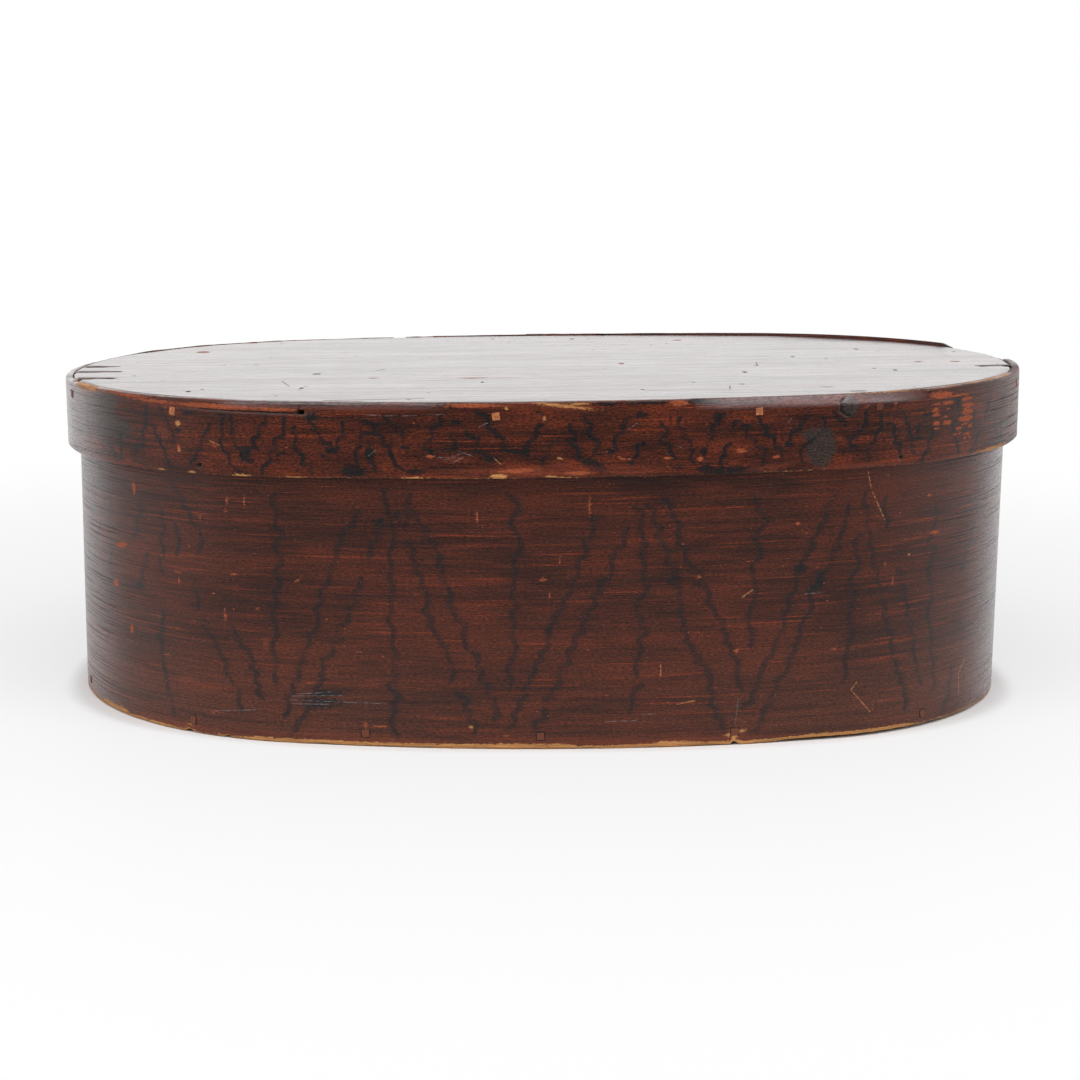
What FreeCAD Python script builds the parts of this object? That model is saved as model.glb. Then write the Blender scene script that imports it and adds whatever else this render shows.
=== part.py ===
# Oval bentwood box with a lift-off lid.
# Each half is one wide board inside a bent band. Square wooden pegs hold the board in the band,
# and tacks hold the band's own lap, whose outer end is cut into tapering fingers.
# Origin: on the floor, at the middle of the oval. +X runs along the box, -Y is its front, +Z is up.
import FreeCAD
import Part
import math
import os
from FreeCAD import Placement, Rotation, Vector

# Driving dimensions, in millimetres and degrees

# The oval over the lid's band: two end arcs and two long side arcs, tangent where they meet
lid_half_length = 254.0
lid_end_radius = 151.5
lid_side_radius = 634.5

# The box
rim_height = 158.0
body_band_thickness = 4.0
bottom_board_thickness = 12.0
board_joint_gap = 0.2

# The lid, which sits a little lower at its left end, and the slanted rim under it
lid_band_thickness = 3.8
lid_band_height = 36.5
lid_board_thickness = 12.0
lid_running_gap = 0.75
lid_tilt = 0.9

# The lid band's top edge stands proud of the board along part of the back
back_lip_height = 1.2
back_lip_left = -9.0
back_lip_right = 236.0

# The lap at the middle of the back, and the fingers at its outer end
lap_length = 92.0
lap_feather = 34.0
lap_tip_thickness = 0.6
lap_outer_thickness = 1.8
lap_hairline = 0.15
finger_length = 44.0
body_finger_count = 4
lid_finger_count = 1
finger_tip_width = 9.0
finger_side_bulge = 0.66
lid_shadow_margin = 3.0

# Square pegs through each band into its board
peg_width = 3.8
peg_length = 20.0
peg_fit = 0.05
bottom_peg_height = 6.6
lid_peg_depth = 6.8
lost_peg_hole_depth = 9.0

# Round-headed tacks through the laps, peened flush inside
tack_shank_radius = 0.8
tack_head_radius = 2.6
tack_head_height = 0.9
tack_hole_fit = 0.05
tack_point_radius = 1.3
tack_point_height = 0.3
tack_to_tip = 8.0
tack_to_root = 7.0
tack_spread = 8.0

# Where the pegs stand, as shares of the way round, from the middle of the front towards the right
bottom_peg_shares = (-0.455, -0.375, -0.295, -0.217, -0.139, -0.071, -0.007,
                     0.065, 0.145, 0.222, 0.300, 0.378, 0.455)
lid_peg_shares = (-0.455, -0.375, -0.290, -0.210, -0.140, -0.0234,
                  0.068, 0.113, 0.207, 0.290, 0.375, 0.455)
lost_peg_share = -0.0908

# Sizes worked out from the ones above

# The running gap is kept over the proud lap, so the plain oval clears by the lap's thickness more
lid_clearance = lap_outer_thickness + lap_hairline + lid_running_gap

# Inward offsets from the oval over the lid
lid_inner_offset = lid_band_thickness
body_outer_offset = lid_inner_offset + lid_clearance
body_inner_offset = body_outer_offset + body_band_thickness

# Centres of the oval's arcs, shared by every offset of it
end_centre_x = lid_half_length - lid_end_radius
side_centre_y = math.sqrt((lid_side_radius - lid_end_radius) ** 2 - end_centre_x ** 2)
junction_angle = math.atan2(side_centre_y, end_centre_x)

# Heights in the lid's own level frame, whose zero is the board's underside
lid_top = lid_board_thickness
lid_skirt = lid_band_height - lid_board_thickness

# How far the slanted rim rises from the middle of the box to its right end
rim_rise = lid_half_length * math.tan(math.radians(lid_tilt))

# How far a cutting solid runs past the wood that it cuts
cut_margin = 2.0

UP = Vector(0, 0, 1)
Y_AXIS = Vector(0, 1, 0)
BACK = (0.0, -side_centre_y)
FRONT = (0.0, side_centre_y)
RIGHT = (end_centre_x, 0.0)
LEFT = (-end_centre_x, 0.0)


def polar(centre, radius, angle):
    return Vector(centre[0] + radius * math.cos(angle), centre[1] + radius * math.sin(angle), 0)


def arc(centre, radius, start, end):
    middle = polar(centre, radius, (start + end) / 2)
    return Part.Arc(polar(centre, radius, start), middle, polar(centre, radius, end)).toShape()


def line(start, end):
    return Part.LineSegment(start, end).toShape()


def oval_arcs(offset, start, end):
    """Arcs of the oval, anticlockwise from one angle of the back arc round to another."""
    side = lid_side_radius - offset
    tip = lid_end_radius - offset
    turn = junction_angle
    return [
        arc(BACK, side, start, math.pi - turn),
        arc(LEFT, tip, math.pi - turn, math.pi + turn),
        arc(FRONT, side, math.pi + turn, 2 * math.pi - turn),
        arc(RIGHT, tip, -turn, turn),
        arc(BACK, side, turn, end),
    ]


def oval_plate(offset, low, high):
    """A flat plate with the oval's outline at an inward offset."""
    wire = Part.Wire(oval_arcs(offset, math.pi / 2, math.pi / 2))
    wire.translate(Vector(0, 0, low))
    return Part.Face(wire).extrude(UP * (high - low))


def oval_length(offset):
    side_turn = math.pi - 2 * junction_angle
    return 2 * side_turn * (lid_side_radius - offset) + 4 * junction_angle * (lid_end_radius - offset)


def oval_place(offset, share):
    """Point and outward direction on the oval, at a share of the way round from the front."""
    side = lid_side_radius - offset
    tip = lid_end_radius - offset
    half_side = (math.pi / 2 - junction_angle) * side
    half_end = 2 * junction_angle * tip
    along = abs(share) * oval_length(offset)
    if along <= half_side:
        centre, radius, angle = FRONT, side, -math.pi / 2 + along / side
    elif along <= half_side + half_end:
        centre, radius, angle = RIGHT, tip, -junction_angle + (along - half_side) / tip
    else:
        centre, radius, angle = BACK, side, junction_angle + (along - half_side - half_end) / side
    point = polar(centre, radius, angle)
    outward = Vector(math.cos(angle), math.sin(angle), 0)
    if share < 0:
        point.x = -point.x
        outward.x = -outward.x
    return point, outward


class Lap:
    """Where a band's two ends cross at the back, in distances along the band's outer face."""

    def __init__(self, outer_offset, thickness):
        self.outer_offset = outer_offset
        self.inner_offset = outer_offset + thickness
        self.face = lid_side_radius - outer_offset
        self.tail = -lap_length / 2
        self.full = self.tail + lap_feather
        self.tips = lap_length / 2
        self.roots = self.tips - finger_length
        self.under = self.face + lap_hairline
        self.over = self.under + lap_outer_thickness

    def angle(self, along):
        return math.pi / 2 + along / self.face

    def point(self, along, radius):
        return polar(BACK, radius, self.angle(along))

    def ramp(self, start, start_radius, end, end_radius):
        """A slow change of radius, as one arc through its middle."""
        middle = self.point((start + end) / 2, (start_radius + end_radius) / 2)
        return Part.Arc(self.point(start, start_radius), middle, self.point(end, end_radius)).toShape()

    def sector(self, inner, outer, start, end, low, high):
        edges = [
            arc(BACK, inner, self.angle(start), self.angle(end)),
            line(self.point(end, inner), self.point(end, outer)),
            arc(BACK, outer, self.angle(end), self.angle(start)),
            line(self.point(start, outer), self.point(start, inner)),
        ]
        wire = Part.Wire(edges)
        wire.translate(Vector(0, 0, low))
        return Part.Face(wire).extrude(UP * (high - low))


def lapped_strip(lap, low, high):
    """One bent strip: a feathered tail inside, and a thinned outer end lying over it."""
    inner = lid_side_radius - lap.inner_offset
    tail_top = inner + lap_tip_thickness
    mouth = lap.tail - lap_hairline
    edges = oval_arcs(lap.inner_offset, lap.angle(lap.tail), lap.angle(mouth))
    edges += [
        line(lap.point(mouth, inner), lap.point(mouth, tail_top + lap_hairline)),
        lap.ramp(mouth, tail_top + lap_hairline, lap.full, lap.under),
        arc(BACK, lap.under, lap.angle(lap.full), lap.angle(lap.tips)),
        line(lap.point(lap.tips, lap.under), lap.point(lap.tips, lap.over)),
        arc(BACK, lap.over, lap.angle(lap.tips), lap.angle(lap.full)),
        lap.ramp(lap.full, lap.over, lap.tail, lap.face),
    ]
    edges += oval_arcs(lap.outer_offset, lap.angle(lap.full), lap.angle(lap.tail))
    edges += [
        lap.ramp(lap.full, lap.face, lap.tail, tail_top),
        line(lap.point(lap.tail, tail_top), lap.point(lap.tail, inner)),
    ]
    wire = Part.Wire(Part.sortEdges(edges)[0])
    wire.translate(Vector(0, 0, low))
    return Part.Face(wire).extrude(UP * (high - low))


def finger_gap(lap, centre_height, pitch):
    """A pointed opening between two fingers, from their roots to past their tips."""
    opening = (pitch - finger_tip_width) / 2
    beyond = lap.tips + cut_margin
    middle = (lap.roots + beyond) / 2
    root = Vector(-lap.roots, 0, centre_height)
    upper_tip = Vector(-beyond, 0, centre_height + opening)
    lower_tip = Vector(-beyond, 0, centre_height - opening)
    upper_mid = Vector(-middle, 0, centre_height + opening * finger_side_bulge)
    lower_mid = Vector(-middle, 0, centre_height - opening * finger_side_bulge)
    edges = [
        Part.Arc(root, upper_mid, upper_tip).toShape(),
        line(upper_tip, lower_tip),
        Part.Arc(lower_tip, lower_mid, root).toShape(),
    ]
    return Part.Face(Part.Wire(edges)).extrude(Y_AXIS * lid_half_length)


def past_roots(lap, low, high):
    """The outer layer's share of the lap between two heights, from the roots to past the tips."""
    hairline_middle = lap.under - lap_hairline / 2
    return lap.sector(hairline_middle, lap.over + cut_margin, lap.roots, lap.tips + cut_margin, low, high)


def cut_fingers(strip, lap, low, pitch, count, strip_low, strip_high):
    """Shape the outer end: gaps between the fingers, and square shoulders below and above them."""
    top = low + count * pitch
    layer = past_roots(lap, strip_low - pitch, strip_high + pitch)
    waste = [finger_gap(lap, low + gap * pitch, pitch).common(layer) for gap in range(count + 1)]
    if low > strip_low:
        waste.append(past_roots(lap, strip_low - cut_margin, low))
    if strip_high > top:
        waste.append(past_roots(lap, top, strip_high + cut_margin))
    return strip.cut(waste)


def tack_places(lap, low, pitch, count):
    """Distance along the lap and height of each tack: tip, middle and a pair at each root."""
    places = []
    for finger in range(count):
        height = low + (finger + 0.5) * pitch
        places.append((lap.tips - tack_to_tip, height))
        places.append(((lap.roots + lap.tips) / 2, height))
        places.append((lap.roots - tack_to_root, height - tack_spread / 2))
        places.append((lap.roots - tack_to_root, height + tack_spread / 2))
    return places


def tack(lap, along, height):
    """A domed head, a round shank through both layers, and a peened point on the inner face."""
    outward = Vector(math.cos(lap.angle(along)), math.sin(lap.angle(along)), 0)
    seat = lap.point(along, lap.over) + UP * height
    inner = lid_side_radius - lap.inner_offset
    end = lap.point(along, inner - tack_point_height) + UP * height
    dome_radius = (tack_head_radius ** 2 + tack_head_height ** 2) / (2 * tack_head_height)
    dome_centre = seat + outward * (tack_head_height - dome_radius)
    dome = Part.makeSphere(dome_radius, dome_centre)
    head = dome.common(Part.makeCylinder(tack_head_radius * 1.5, tack_head_height * 2, seat, outward))
    shank = Part.makeCylinder(tack_shank_radius, (seat - end).Length + tack_head_height / 2, end, outward)
    point = Part.makeCylinder(tack_point_radius, tack_point_height - 0.02, end, outward)
    return head.fuse([shank, point])


def tack_hole(lap, along, height):
    outward = Vector(math.cos(lap.angle(along)), math.sin(lap.angle(along)), 0)
    start_radius = lid_side_radius - lap.inner_offset - cut_margin
    start = lap.point(along, start_radius) + UP * height
    length = lap.over + cut_margin - start_radius
    return Part.makeCylinder(tack_shank_radius + tack_hole_fit, length, start, outward)


def square_bar(offset, share, height, width, outside, inside):
    """A square bar across the oval's edge, from outside the offset line to inside it."""
    point, outward = oval_place(offset, share)
    bar = Part.makeBox(outside + inside, width, width, Vector(-inside, -width / 2, -width / 2))
    turn = math.degrees(math.atan2(outward.y, outward.x))
    bar.Placement = Placement(point + UP * height, Rotation(UP, turn))
    return bar


def pegs(offset, shares, height):
    return [square_bar(offset, share, height, peg_width, 0, peg_length) for share in shares]


def peg_holes(offset, shares, height, length=peg_length):
    width = peg_width + 2 * peg_fit
    return [square_bar(offset, share, height, width, cut_margin, length + peg_fit) for share in shares]


body_lap = Lap(body_outer_offset, body_band_thickness)
lid_lap = Lap(0.0, lid_band_thickness)

# The body's fingers stand between the bottom board's top and the lid's lower edge
body_finger_low = bottom_board_thickness
body_finger_high = rim_height - lid_skirt - lid_shadow_margin
body_pitch = (body_finger_high - body_finger_low) / body_finger_count
lid_pitch = lid_band_height / lid_finger_count


def slanted_waste():
    """What is trimmed off above the rim, which follows the lid's tilt."""
    reach = 2 * lid_half_length
    waste = Part.makeBox(2 * reach, 2 * reach, rim_height, Vector(-reach, -reach, 0))
    waste.Placement = Placement(UP * rim_height, Rotation(Y_AXIS, -lid_tilt))
    return waste


def make_body_band():
    untrimmed = rim_height + rim_rise
    band = lapped_strip(body_lap, 0, untrimmed)
    band = cut_fingers(band, body_lap, body_finger_low, body_pitch, body_finger_count, 0, untrimmed)
    band = band.cut(slanted_waste())
    holes = [tack_hole(body_lap, *place) for place in body_tack_places]
    holes += peg_holes(body_outer_offset, bottom_peg_shares, bottom_peg_height)
    return band.cut(holes)


def make_bottom_board():
    board = oval_plate(body_inner_offset + board_joint_gap, 0, bottom_board_thickness)
    return board.cut(peg_holes(body_outer_offset, bottom_peg_shares, bottom_peg_height))


def back_lip_waste():
    """What is trimmed off the lid band's top edge wherever it isn't proud."""
    reach = 2 * lid_half_length
    height = back_lip_height + cut_margin
    width = back_lip_right - back_lip_left
    trim = Part.makeBox(2 * reach, 2 * reach, height, Vector(-reach, -reach, lid_top))
    kept = Part.makeBox(width, reach, height, Vector(back_lip_left, 0, lid_top))
    return trim.cut(kept)


def make_lid_band():
    untrimmed = lid_top + back_lip_height
    band = lapped_strip(lid_lap, -lid_skirt, untrimmed)
    band = cut_fingers(band, lid_lap, -lid_skirt, lid_pitch, lid_finger_count, -lid_skirt, untrimmed)
    band = band.cut(back_lip_waste())
    holes = [tack_hole(lid_lap, *place) for place in lid_tack_places]
    holes += peg_holes(0.0, lid_peg_shares, lid_top - lid_peg_depth)
    holes += peg_holes(0.0, [lost_peg_share], lid_top - lid_peg_depth, lost_peg_hole_depth)
    return band.cut(holes)


def make_lid_board():
    board = oval_plate(lid_inner_offset + board_joint_gap, 0, lid_top)
    holes = peg_holes(0.0, lid_peg_shares, lid_top - lid_peg_depth)
    holes += peg_holes(0.0, [lost_peg_share], lid_top - lid_peg_depth, lost_peg_hole_depth)
    return board.cut(holes)


def on_lid(shape):
    """Carry a lid piece from its own level frame to its place on the slanted rim."""
    placed = shape.copy()
    placed.Placement = Placement(UP * rim_height, Rotation(Y_AXIS, -lid_tilt)).multiply(shape.Placement)
    return placed


body_tack_places = tack_places(body_lap, body_finger_low, body_pitch, body_finger_count)
lid_tack_places = tack_places(lid_lap, -lid_skirt, lid_pitch, lid_finger_count)

nodes = {
    "body_band": make_body_band(),
    "bottom_board": make_bottom_board(),
    "bottom_pegs": Part.makeCompound(pegs(body_outer_offset, bottom_peg_shares, bottom_peg_height)),
    "body_lap_tacks": Part.makeCompound([tack(body_lap, *place) for place in body_tack_places]),
    "lid_band": on_lid(make_lid_band()),
    "lid_board": on_lid(make_lid_board()),
    "lid_pegs": on_lid(Part.makeCompound(pegs(0.0, lid_peg_shares, lid_top - lid_peg_depth))),
    "lid_lap_tacks": on_lid(Part.makeCompound([tack(lid_lap, *place) for place in lid_tack_places])),
}

os.makedirs("parts", exist_ok=True)
for name, shape in nodes.items():
    shape.exportStep("parts/" + name + ".step")
    state = "valid" if shape.isValid() else "not valid"
    print(name, len(shape.Solids), "solids", round(shape.Volume, 1), "mm3", state)
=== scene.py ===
# Looks of an oval bentwood box: worn grain-painted bands, a varnished lid board, pegs and tacks.
# Lengths are in millimetres until a mesh is made, and metres from there on.
import math
import random

import bpy
import numpy as np
from mathutils import Matrix, Vector, noise


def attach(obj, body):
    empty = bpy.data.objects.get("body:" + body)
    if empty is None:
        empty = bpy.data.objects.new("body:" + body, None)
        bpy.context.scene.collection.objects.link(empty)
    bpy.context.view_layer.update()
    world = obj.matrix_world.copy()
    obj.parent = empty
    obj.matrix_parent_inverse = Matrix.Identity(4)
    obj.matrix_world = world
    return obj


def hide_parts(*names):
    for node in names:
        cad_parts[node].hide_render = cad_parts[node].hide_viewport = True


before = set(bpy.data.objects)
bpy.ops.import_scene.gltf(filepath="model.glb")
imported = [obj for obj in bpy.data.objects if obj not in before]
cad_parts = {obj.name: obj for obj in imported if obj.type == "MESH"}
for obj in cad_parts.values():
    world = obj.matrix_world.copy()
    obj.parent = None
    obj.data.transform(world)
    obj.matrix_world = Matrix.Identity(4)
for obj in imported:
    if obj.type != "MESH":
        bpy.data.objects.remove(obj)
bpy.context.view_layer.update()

MM = 0.001

# The oval over the lid's band, as in the model
HALF_LENGTH = 254.0
END_RADIUS = 151.5
SIDE_RADIUS = 634.5
END_CENTRE = HALF_LENGTH - END_RADIUS
SIDE_CENTRE = math.sqrt((SIDE_RADIUS - END_RADIUS) ** 2 - END_CENTRE ** 2)
TURN = math.atan2(SIDE_CENTRE, END_CENTRE)

# Heights, wood thicknesses and the lid's tilt
RIM_HEIGHT = 158.0
LID_TILT = math.radians(0.9)
LID_TOP = 12.0
LID_SKIRT = 24.5
BOTTOM_TOP = 12.0
BODY_OFFSET = 6.5
BODY_THICKNESS = 4.0
LID_THICKNESS = 3.8
BOARD_JOINT = 0.2
LID_BOARD_JOINT = 0.7
BACK_LIP = 1.2
BACK_LIP_LEFT = -58.0
BACK_LIP_RIGHT = 239.0

# The lap of each band
LAP_LENGTH = 92.0
LAP_FEATHER = 34.0
LAP_TIP = 0.6
LAP_OUTER = 1.8
LAP_HAIRLINE = 0.15
FINGER_LENGTH = 44.0
FINGER_TIP = 9.0
FINGER_BULGE = 0.66
BODY_FINGERS = 4
BODY_FINGER_LOW = 12.0
BODY_FINGER_HIGH = 130.5

# Pegs and tacks
PEG_WIDTH = 3.8
PEG_LENGTH = 20.0
PEG_UNEVEN = 0.35
BOTTOM_PEG_SUNK = 0.05
BOTTOM_PEG_PAINT = 0.85
LID_PEG_PROUD = 0.1
BOTTOM_PEG_HEIGHT = 6.6
LID_PEG_HEIGHT = 5.2
BOTTOM_PEG_SHARES = (-0.455, -0.375, -0.295, -0.217, -0.139, -0.071, -0.007,
                     0.065, 0.145, 0.222, 0.300, 0.378, 0.455)
LID_PEG_SHARES = (-0.455, -0.375, -0.290, -0.210, -0.140, -0.0234,
                  0.068, 0.113, 0.207, 0.290, 0.375, 0.455)
LOST_PEG_SHARE = -0.0908
LOST_PEG_RISE = 1.5
BARE_LID_PEG_SHARES = (-0.140, -0.0234, 0.068, 0.207)
TACK_HEAD_RADIUS = 2.6
TACK_HEAD_HEIGHT = 0.9
TACK_TO_TIP = 8.0
TACK_TO_ROOT = 7.0
TACK_SPREAD = 8.0


# Brush lines on the front, as places along the band and up it, each drawn from its top down
BODY_LINES = (
    ((-217, 117), (-218, 112), (-215, 110), (-220, 105), (-219, 100), (-224, 95)),
    ((-213, 88), (-213, 83), (-217, 79), (-217, 75), (-220, 71)),
    ((-194, 127), (-191, 122), (-187, 119), (-188, 116), (-184, 113), (-183, 108), (-178, 104),
     (-176, 99), (-179, 92)),
    ((-201, 112), (-202, 108), (-199, 103), (-203, 97), (-200, 92), (-204, 85), (-202, 80)),
    ((-203, 62), (-201, 58), (-203, 55), (-202, 50), (-206, 47), (-203, 43), (-204, 37), (-202, 31),
     (-201, 27), (-199, 18), (-196, 8)),
    ((-193, 106), (-190, 98), (-192, 90)),
    ((-182, 74), (-179, 70), (-180, 64)),
    ((-176, 60), (-177, 57), (-170, 49), (-168, 44), (-165, 40), (-163, 38), (-165, 34), (-162, 31),
     (-160, 28), (-157, 24), (-158, 19), (-156, 15)),
    ((-160, 57), (-158, 53), (-156, 48), (-152, 46), (-151, 43), (-149, 40), (-151, 37), (-147, 34),
     (-149, 31), (-146, 28), (-148, 25), (-145, 22)),
    ((-134, 126), (-139, 123), (-139, 119), (-136, 117), (-137, 112), (-138, 108), (-134, 106),
     (-133, 103), (-137, 101), (-138, 97), (-135, 94), (-134, 90), (-138, 87), (-136, 83), (-135, 80),
     (-138, 76), (-137, 70), (-140, 65), (-138, 60), (-137, 54), (-140, 50), (-139, 44), (-137, 40),
     (-139, 36), (-138, 30)),
    ((-97, 116), (-99, 113), (-99, 109), (-104, 108), (-105, 104), (-105, 101), (-108, 98), (-107, 95),
     (-109, 91), (-111, 88), (-111, 83), (-113, 79), (-117, 76), (-115, 72), (-118, 68), (-116, 65),
     (-117, 60), (-118, 57), (-122, 55), (-121, 50), (-125, 46), (-124, 42), (-127, 39), (-126, 34),
     (-130, 30), (-129, 26), (-133, 23), (-131, 18), (-134, 14)),
    ((-96, 84), (-96, 79), (-100, 76), (-98, 72), (-102, 69), (-102, 62), (-107, 60), (-107, 56),
     (-105, 53), (-110, 51), (-109, 46), (-115, 43), (-114, 39), (-116, 35), (-114, 33), (-118, 29),
     (-119, 24)),
    ((-122, 18), (-124, 14), (-128, 10), (-128, 6), (-133, 3)),
    ((-77, 112), (-78, 116), (-80, 113), (-85, 111), (-88, 107), (-86, 104), (-91, 101), (-91, 97),
     (-92, 94)),
    ((-72, 125), (-74, 118), (-73, 113), (-75, 109)),
    ((-85, 127), (-83, 118), (-81, 112), (-80, 106), (-80, 101), (-82, 97), (-81, 90), (-82, 84),
     (-80, 79), (-82, 74), (-81, 68), (-83, 64), (-80, 58), (-81, 51), (-79, 46), (-80, 41), (-79, 36),
     (-80, 33), (-83, 31), (-80, 28), (-77, 25), (-81, 22), (-79, 18), (-82, 14), (-80, 8), (-78, 5)),
    ((-71, 118), (-69, 113), (-67, 111), (-64, 108), (-66, 104), (-61, 102), (-60, 97), (-57, 95),
     (-59, 91), (-56, 89), (-58, 84), (-54, 80), (-52, 76), (-54, 72), (-51, 68), (-50, 64), (-45, 62),
     (-47, 58), (-46, 53), (-45, 50)),
    ((-74, 102), (-70, 98), (-72, 95), (-69, 90), (-70, 87), (-66, 85), (-67, 81), (-65, 79), (-63, 72),
     (-66, 68), (-62, 65), (-63, 61), (-60, 58), (-58, 54), (-55, 50), (-54, 46), (-52, 42), (-51, 38),
     (-53, 34)),
    ((-50, 28), (-47, 26), (-44, 25), (-46, 21), (-43, 18), (-44, 15), (-40, 13), (-41, 8)),
    ((-42, 48), (-39, 46), (-40, 42), (-37, 39), (-39, 35), (-36, 33), (-34, 31), (-35, 27), (-31, 25),
     (-32, 21), (-29, 18), (-32, 15)),
    ((-26, 125), (-22, 122), (-20, 118), (-23, 115), (-25, 111), (-22, 107), (-20, 103), (-19, 99),
     (-22, 96), (-23, 91), (-22, 86), (-23, 80), (-24, 76), (-21, 71), (-24, 67), (-22, 62), (-24, 57),
     (-21, 50), (-24, 44), (-26, 39), (-23, 34), (-25, 30)),
    ((15, 114), (15, 108), (14, 104), (10, 102), (12, 98), (11, 95), (7, 93), (8, 89), (8, 86), (5, 82),
     (5, 78), (1, 74), (1, 70), (-3, 67), (-2, 64), (-6, 61), (-5, 58), (-7, 55), (-6, 51), (-10, 48),
     (-9, 45), (-13, 42), (-12, 39), (-14, 36), (-15, 33), (-18, 30), (-16, 27), (-20, 24), (-19, 20),
     (-23, 18), (-21, 13), (-25, 10)),
    ((31, 108), (29, 105), (30, 101), (26, 98), (24, 94), (24, 88), (23, 84), (18, 83), (19, 78),
     (15, 76), (17, 71), (12, 68), (13, 65), (10, 62), (11, 58), (6, 56), (7, 51), (3, 48), (5, 43),
     (0, 41), (-1, 37), (0, 33), (-4, 30), (-4, 26), (-8, 25)),
    ((-8, 20), (-6, 15), (-13, 14), (-12, 10)),
    ((35, 118), (39, 115), (37, 109), (38, 105), (40, 100), (38, 95), (40, 89), (39, 84), (42, 79),
     (39, 75), (36, 72), (36, 67), (39, 64), (39, 60), (42, 57), (37, 54), (39, 49), (38, 45), (36, 42),
     (37, 36)),
    ((40, 31), (36, 29), (35, 24), (34, 18)),
    ((40, 119), (44, 116), (43, 111), (48, 108), (45, 104), (48, 101), (51, 97), (50, 92), (51, 89),
     (56, 87), (52, 82), (57, 79), (57, 74), (58, 70), (57, 65), (60, 62), (58, 58), (62, 56), (60, 52),
     (64, 50), (64, 47), (68, 44), (65, 42), (71, 40), (72, 36), (74, 32), (72, 29), (75, 26), (73, 21),
     (77, 18), (76, 14), (80, 13), (79, 10), (82, 6)),
    ((48, 122), (52, 118), (53, 113), (57, 109), (55, 105), (57, 102), (55, 100), (60, 98), (59, 94),
     (62, 89), (67, 85), (68, 80)),
    ((64, 80), (70, 79), (72, 75), (70, 71), (74, 68), (75, 64), (80, 62), (78, 58), (81, 55), (80, 51),
     (84, 48), (83, 45), (87, 42), (86, 37), (87, 31), (89, 28)),
    ((93, 121), (95, 118), (94, 115), (98, 112), (100, 109), (95, 105), (93, 101), (96, 97), (97, 93),
     (93, 90), (92, 86), (94, 81), (95, 76), (94, 70), (92, 66), (91, 61), (94, 55), (93, 49)),
    ((134, 121), (131, 117), (129, 113), (130, 109), (126, 106), (126, 102), (121, 99), (124, 97),
     (120, 92), (117, 88), (115, 83), (115, 76), (111, 72), (112, 67), (109, 63), (110, 58), (108, 54),
     (105, 49), (104, 44), (100, 40), (99, 36), (97, 32), (97, 28), (94, 25), (95, 21), (90, 20)),
    ((141, 115), (140, 109), (139, 104), (136, 98), (137, 95), (133, 93), (133, 86), (129, 83),
     (129, 78), (123, 76), (122, 72), (124, 66), (121, 62), (118, 57), (118, 52), (115, 48), (116, 45),
     (112, 42), (113, 38), (110, 33), (106, 31), (107, 27), (104, 24), (105, 20), (101, 18), (100, 13),
     (98, 10), (98, 7), (93, 6)),
    ((149, 101), (145, 98), (146, 93), (148, 88), (148, 84), (144, 81), (143, 76), (146, 72), (145, 66),
     (143, 60), (146, 54), (144, 47), (142, 40), (143, 33), (142, 28)),
    ((150, 121), (149, 117), (152, 111), (151, 105), (154, 100), (153, 95), (156, 92), (155, 86),
     (159, 82), (158, 78), (162, 73), (161, 69), (163, 66), (165, 62), (163, 59), (166, 56), (165, 52),
     (169, 50), (168, 46), (170, 42), (169, 38), (173, 35), (172, 31), (176, 28), (175, 25), (179, 22),
     (178, 18), (181, 15), (179, 11)),
    ((162, 118), (160, 112), (164, 107), (163, 104)),
    ((171, 82), (174, 78), (173, 75), (176, 71), (175, 67), (179, 63), (178, 58), (182, 54), (181, 49),
     (184, 46), (183, 40), (185, 35), (187, 28), (190, 22)),
    ((195, 110), (196, 104), (193, 97), (191, 93), (196, 90), (194, 84), (191, 79), (193, 74), (195, 69),
     (196, 64), (192, 60), (193, 55), (195, 50), (197, 44), (196, 38), (199, 33), (198, 27), (201, 21),
     (199, 17)),
    ((232, 97), (229, 93), (226, 88), (224, 84), (222, 79), (220, 76)),
    ((214, 28), (215, 22), (212, 17), (214, 12), (209, 8), (208, 3)),
    ((246, 116), (243, 108), (245, 100), (247, 92), (244, 84), (246, 75), (244, 66), (246, 58),
     (243, 50)),
    ((-247, 120), (-244, 112), (-246, 104), (-248, 96), (-245, 88), (-247, 78), (-245, 70), (-247, 60)),
)
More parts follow.
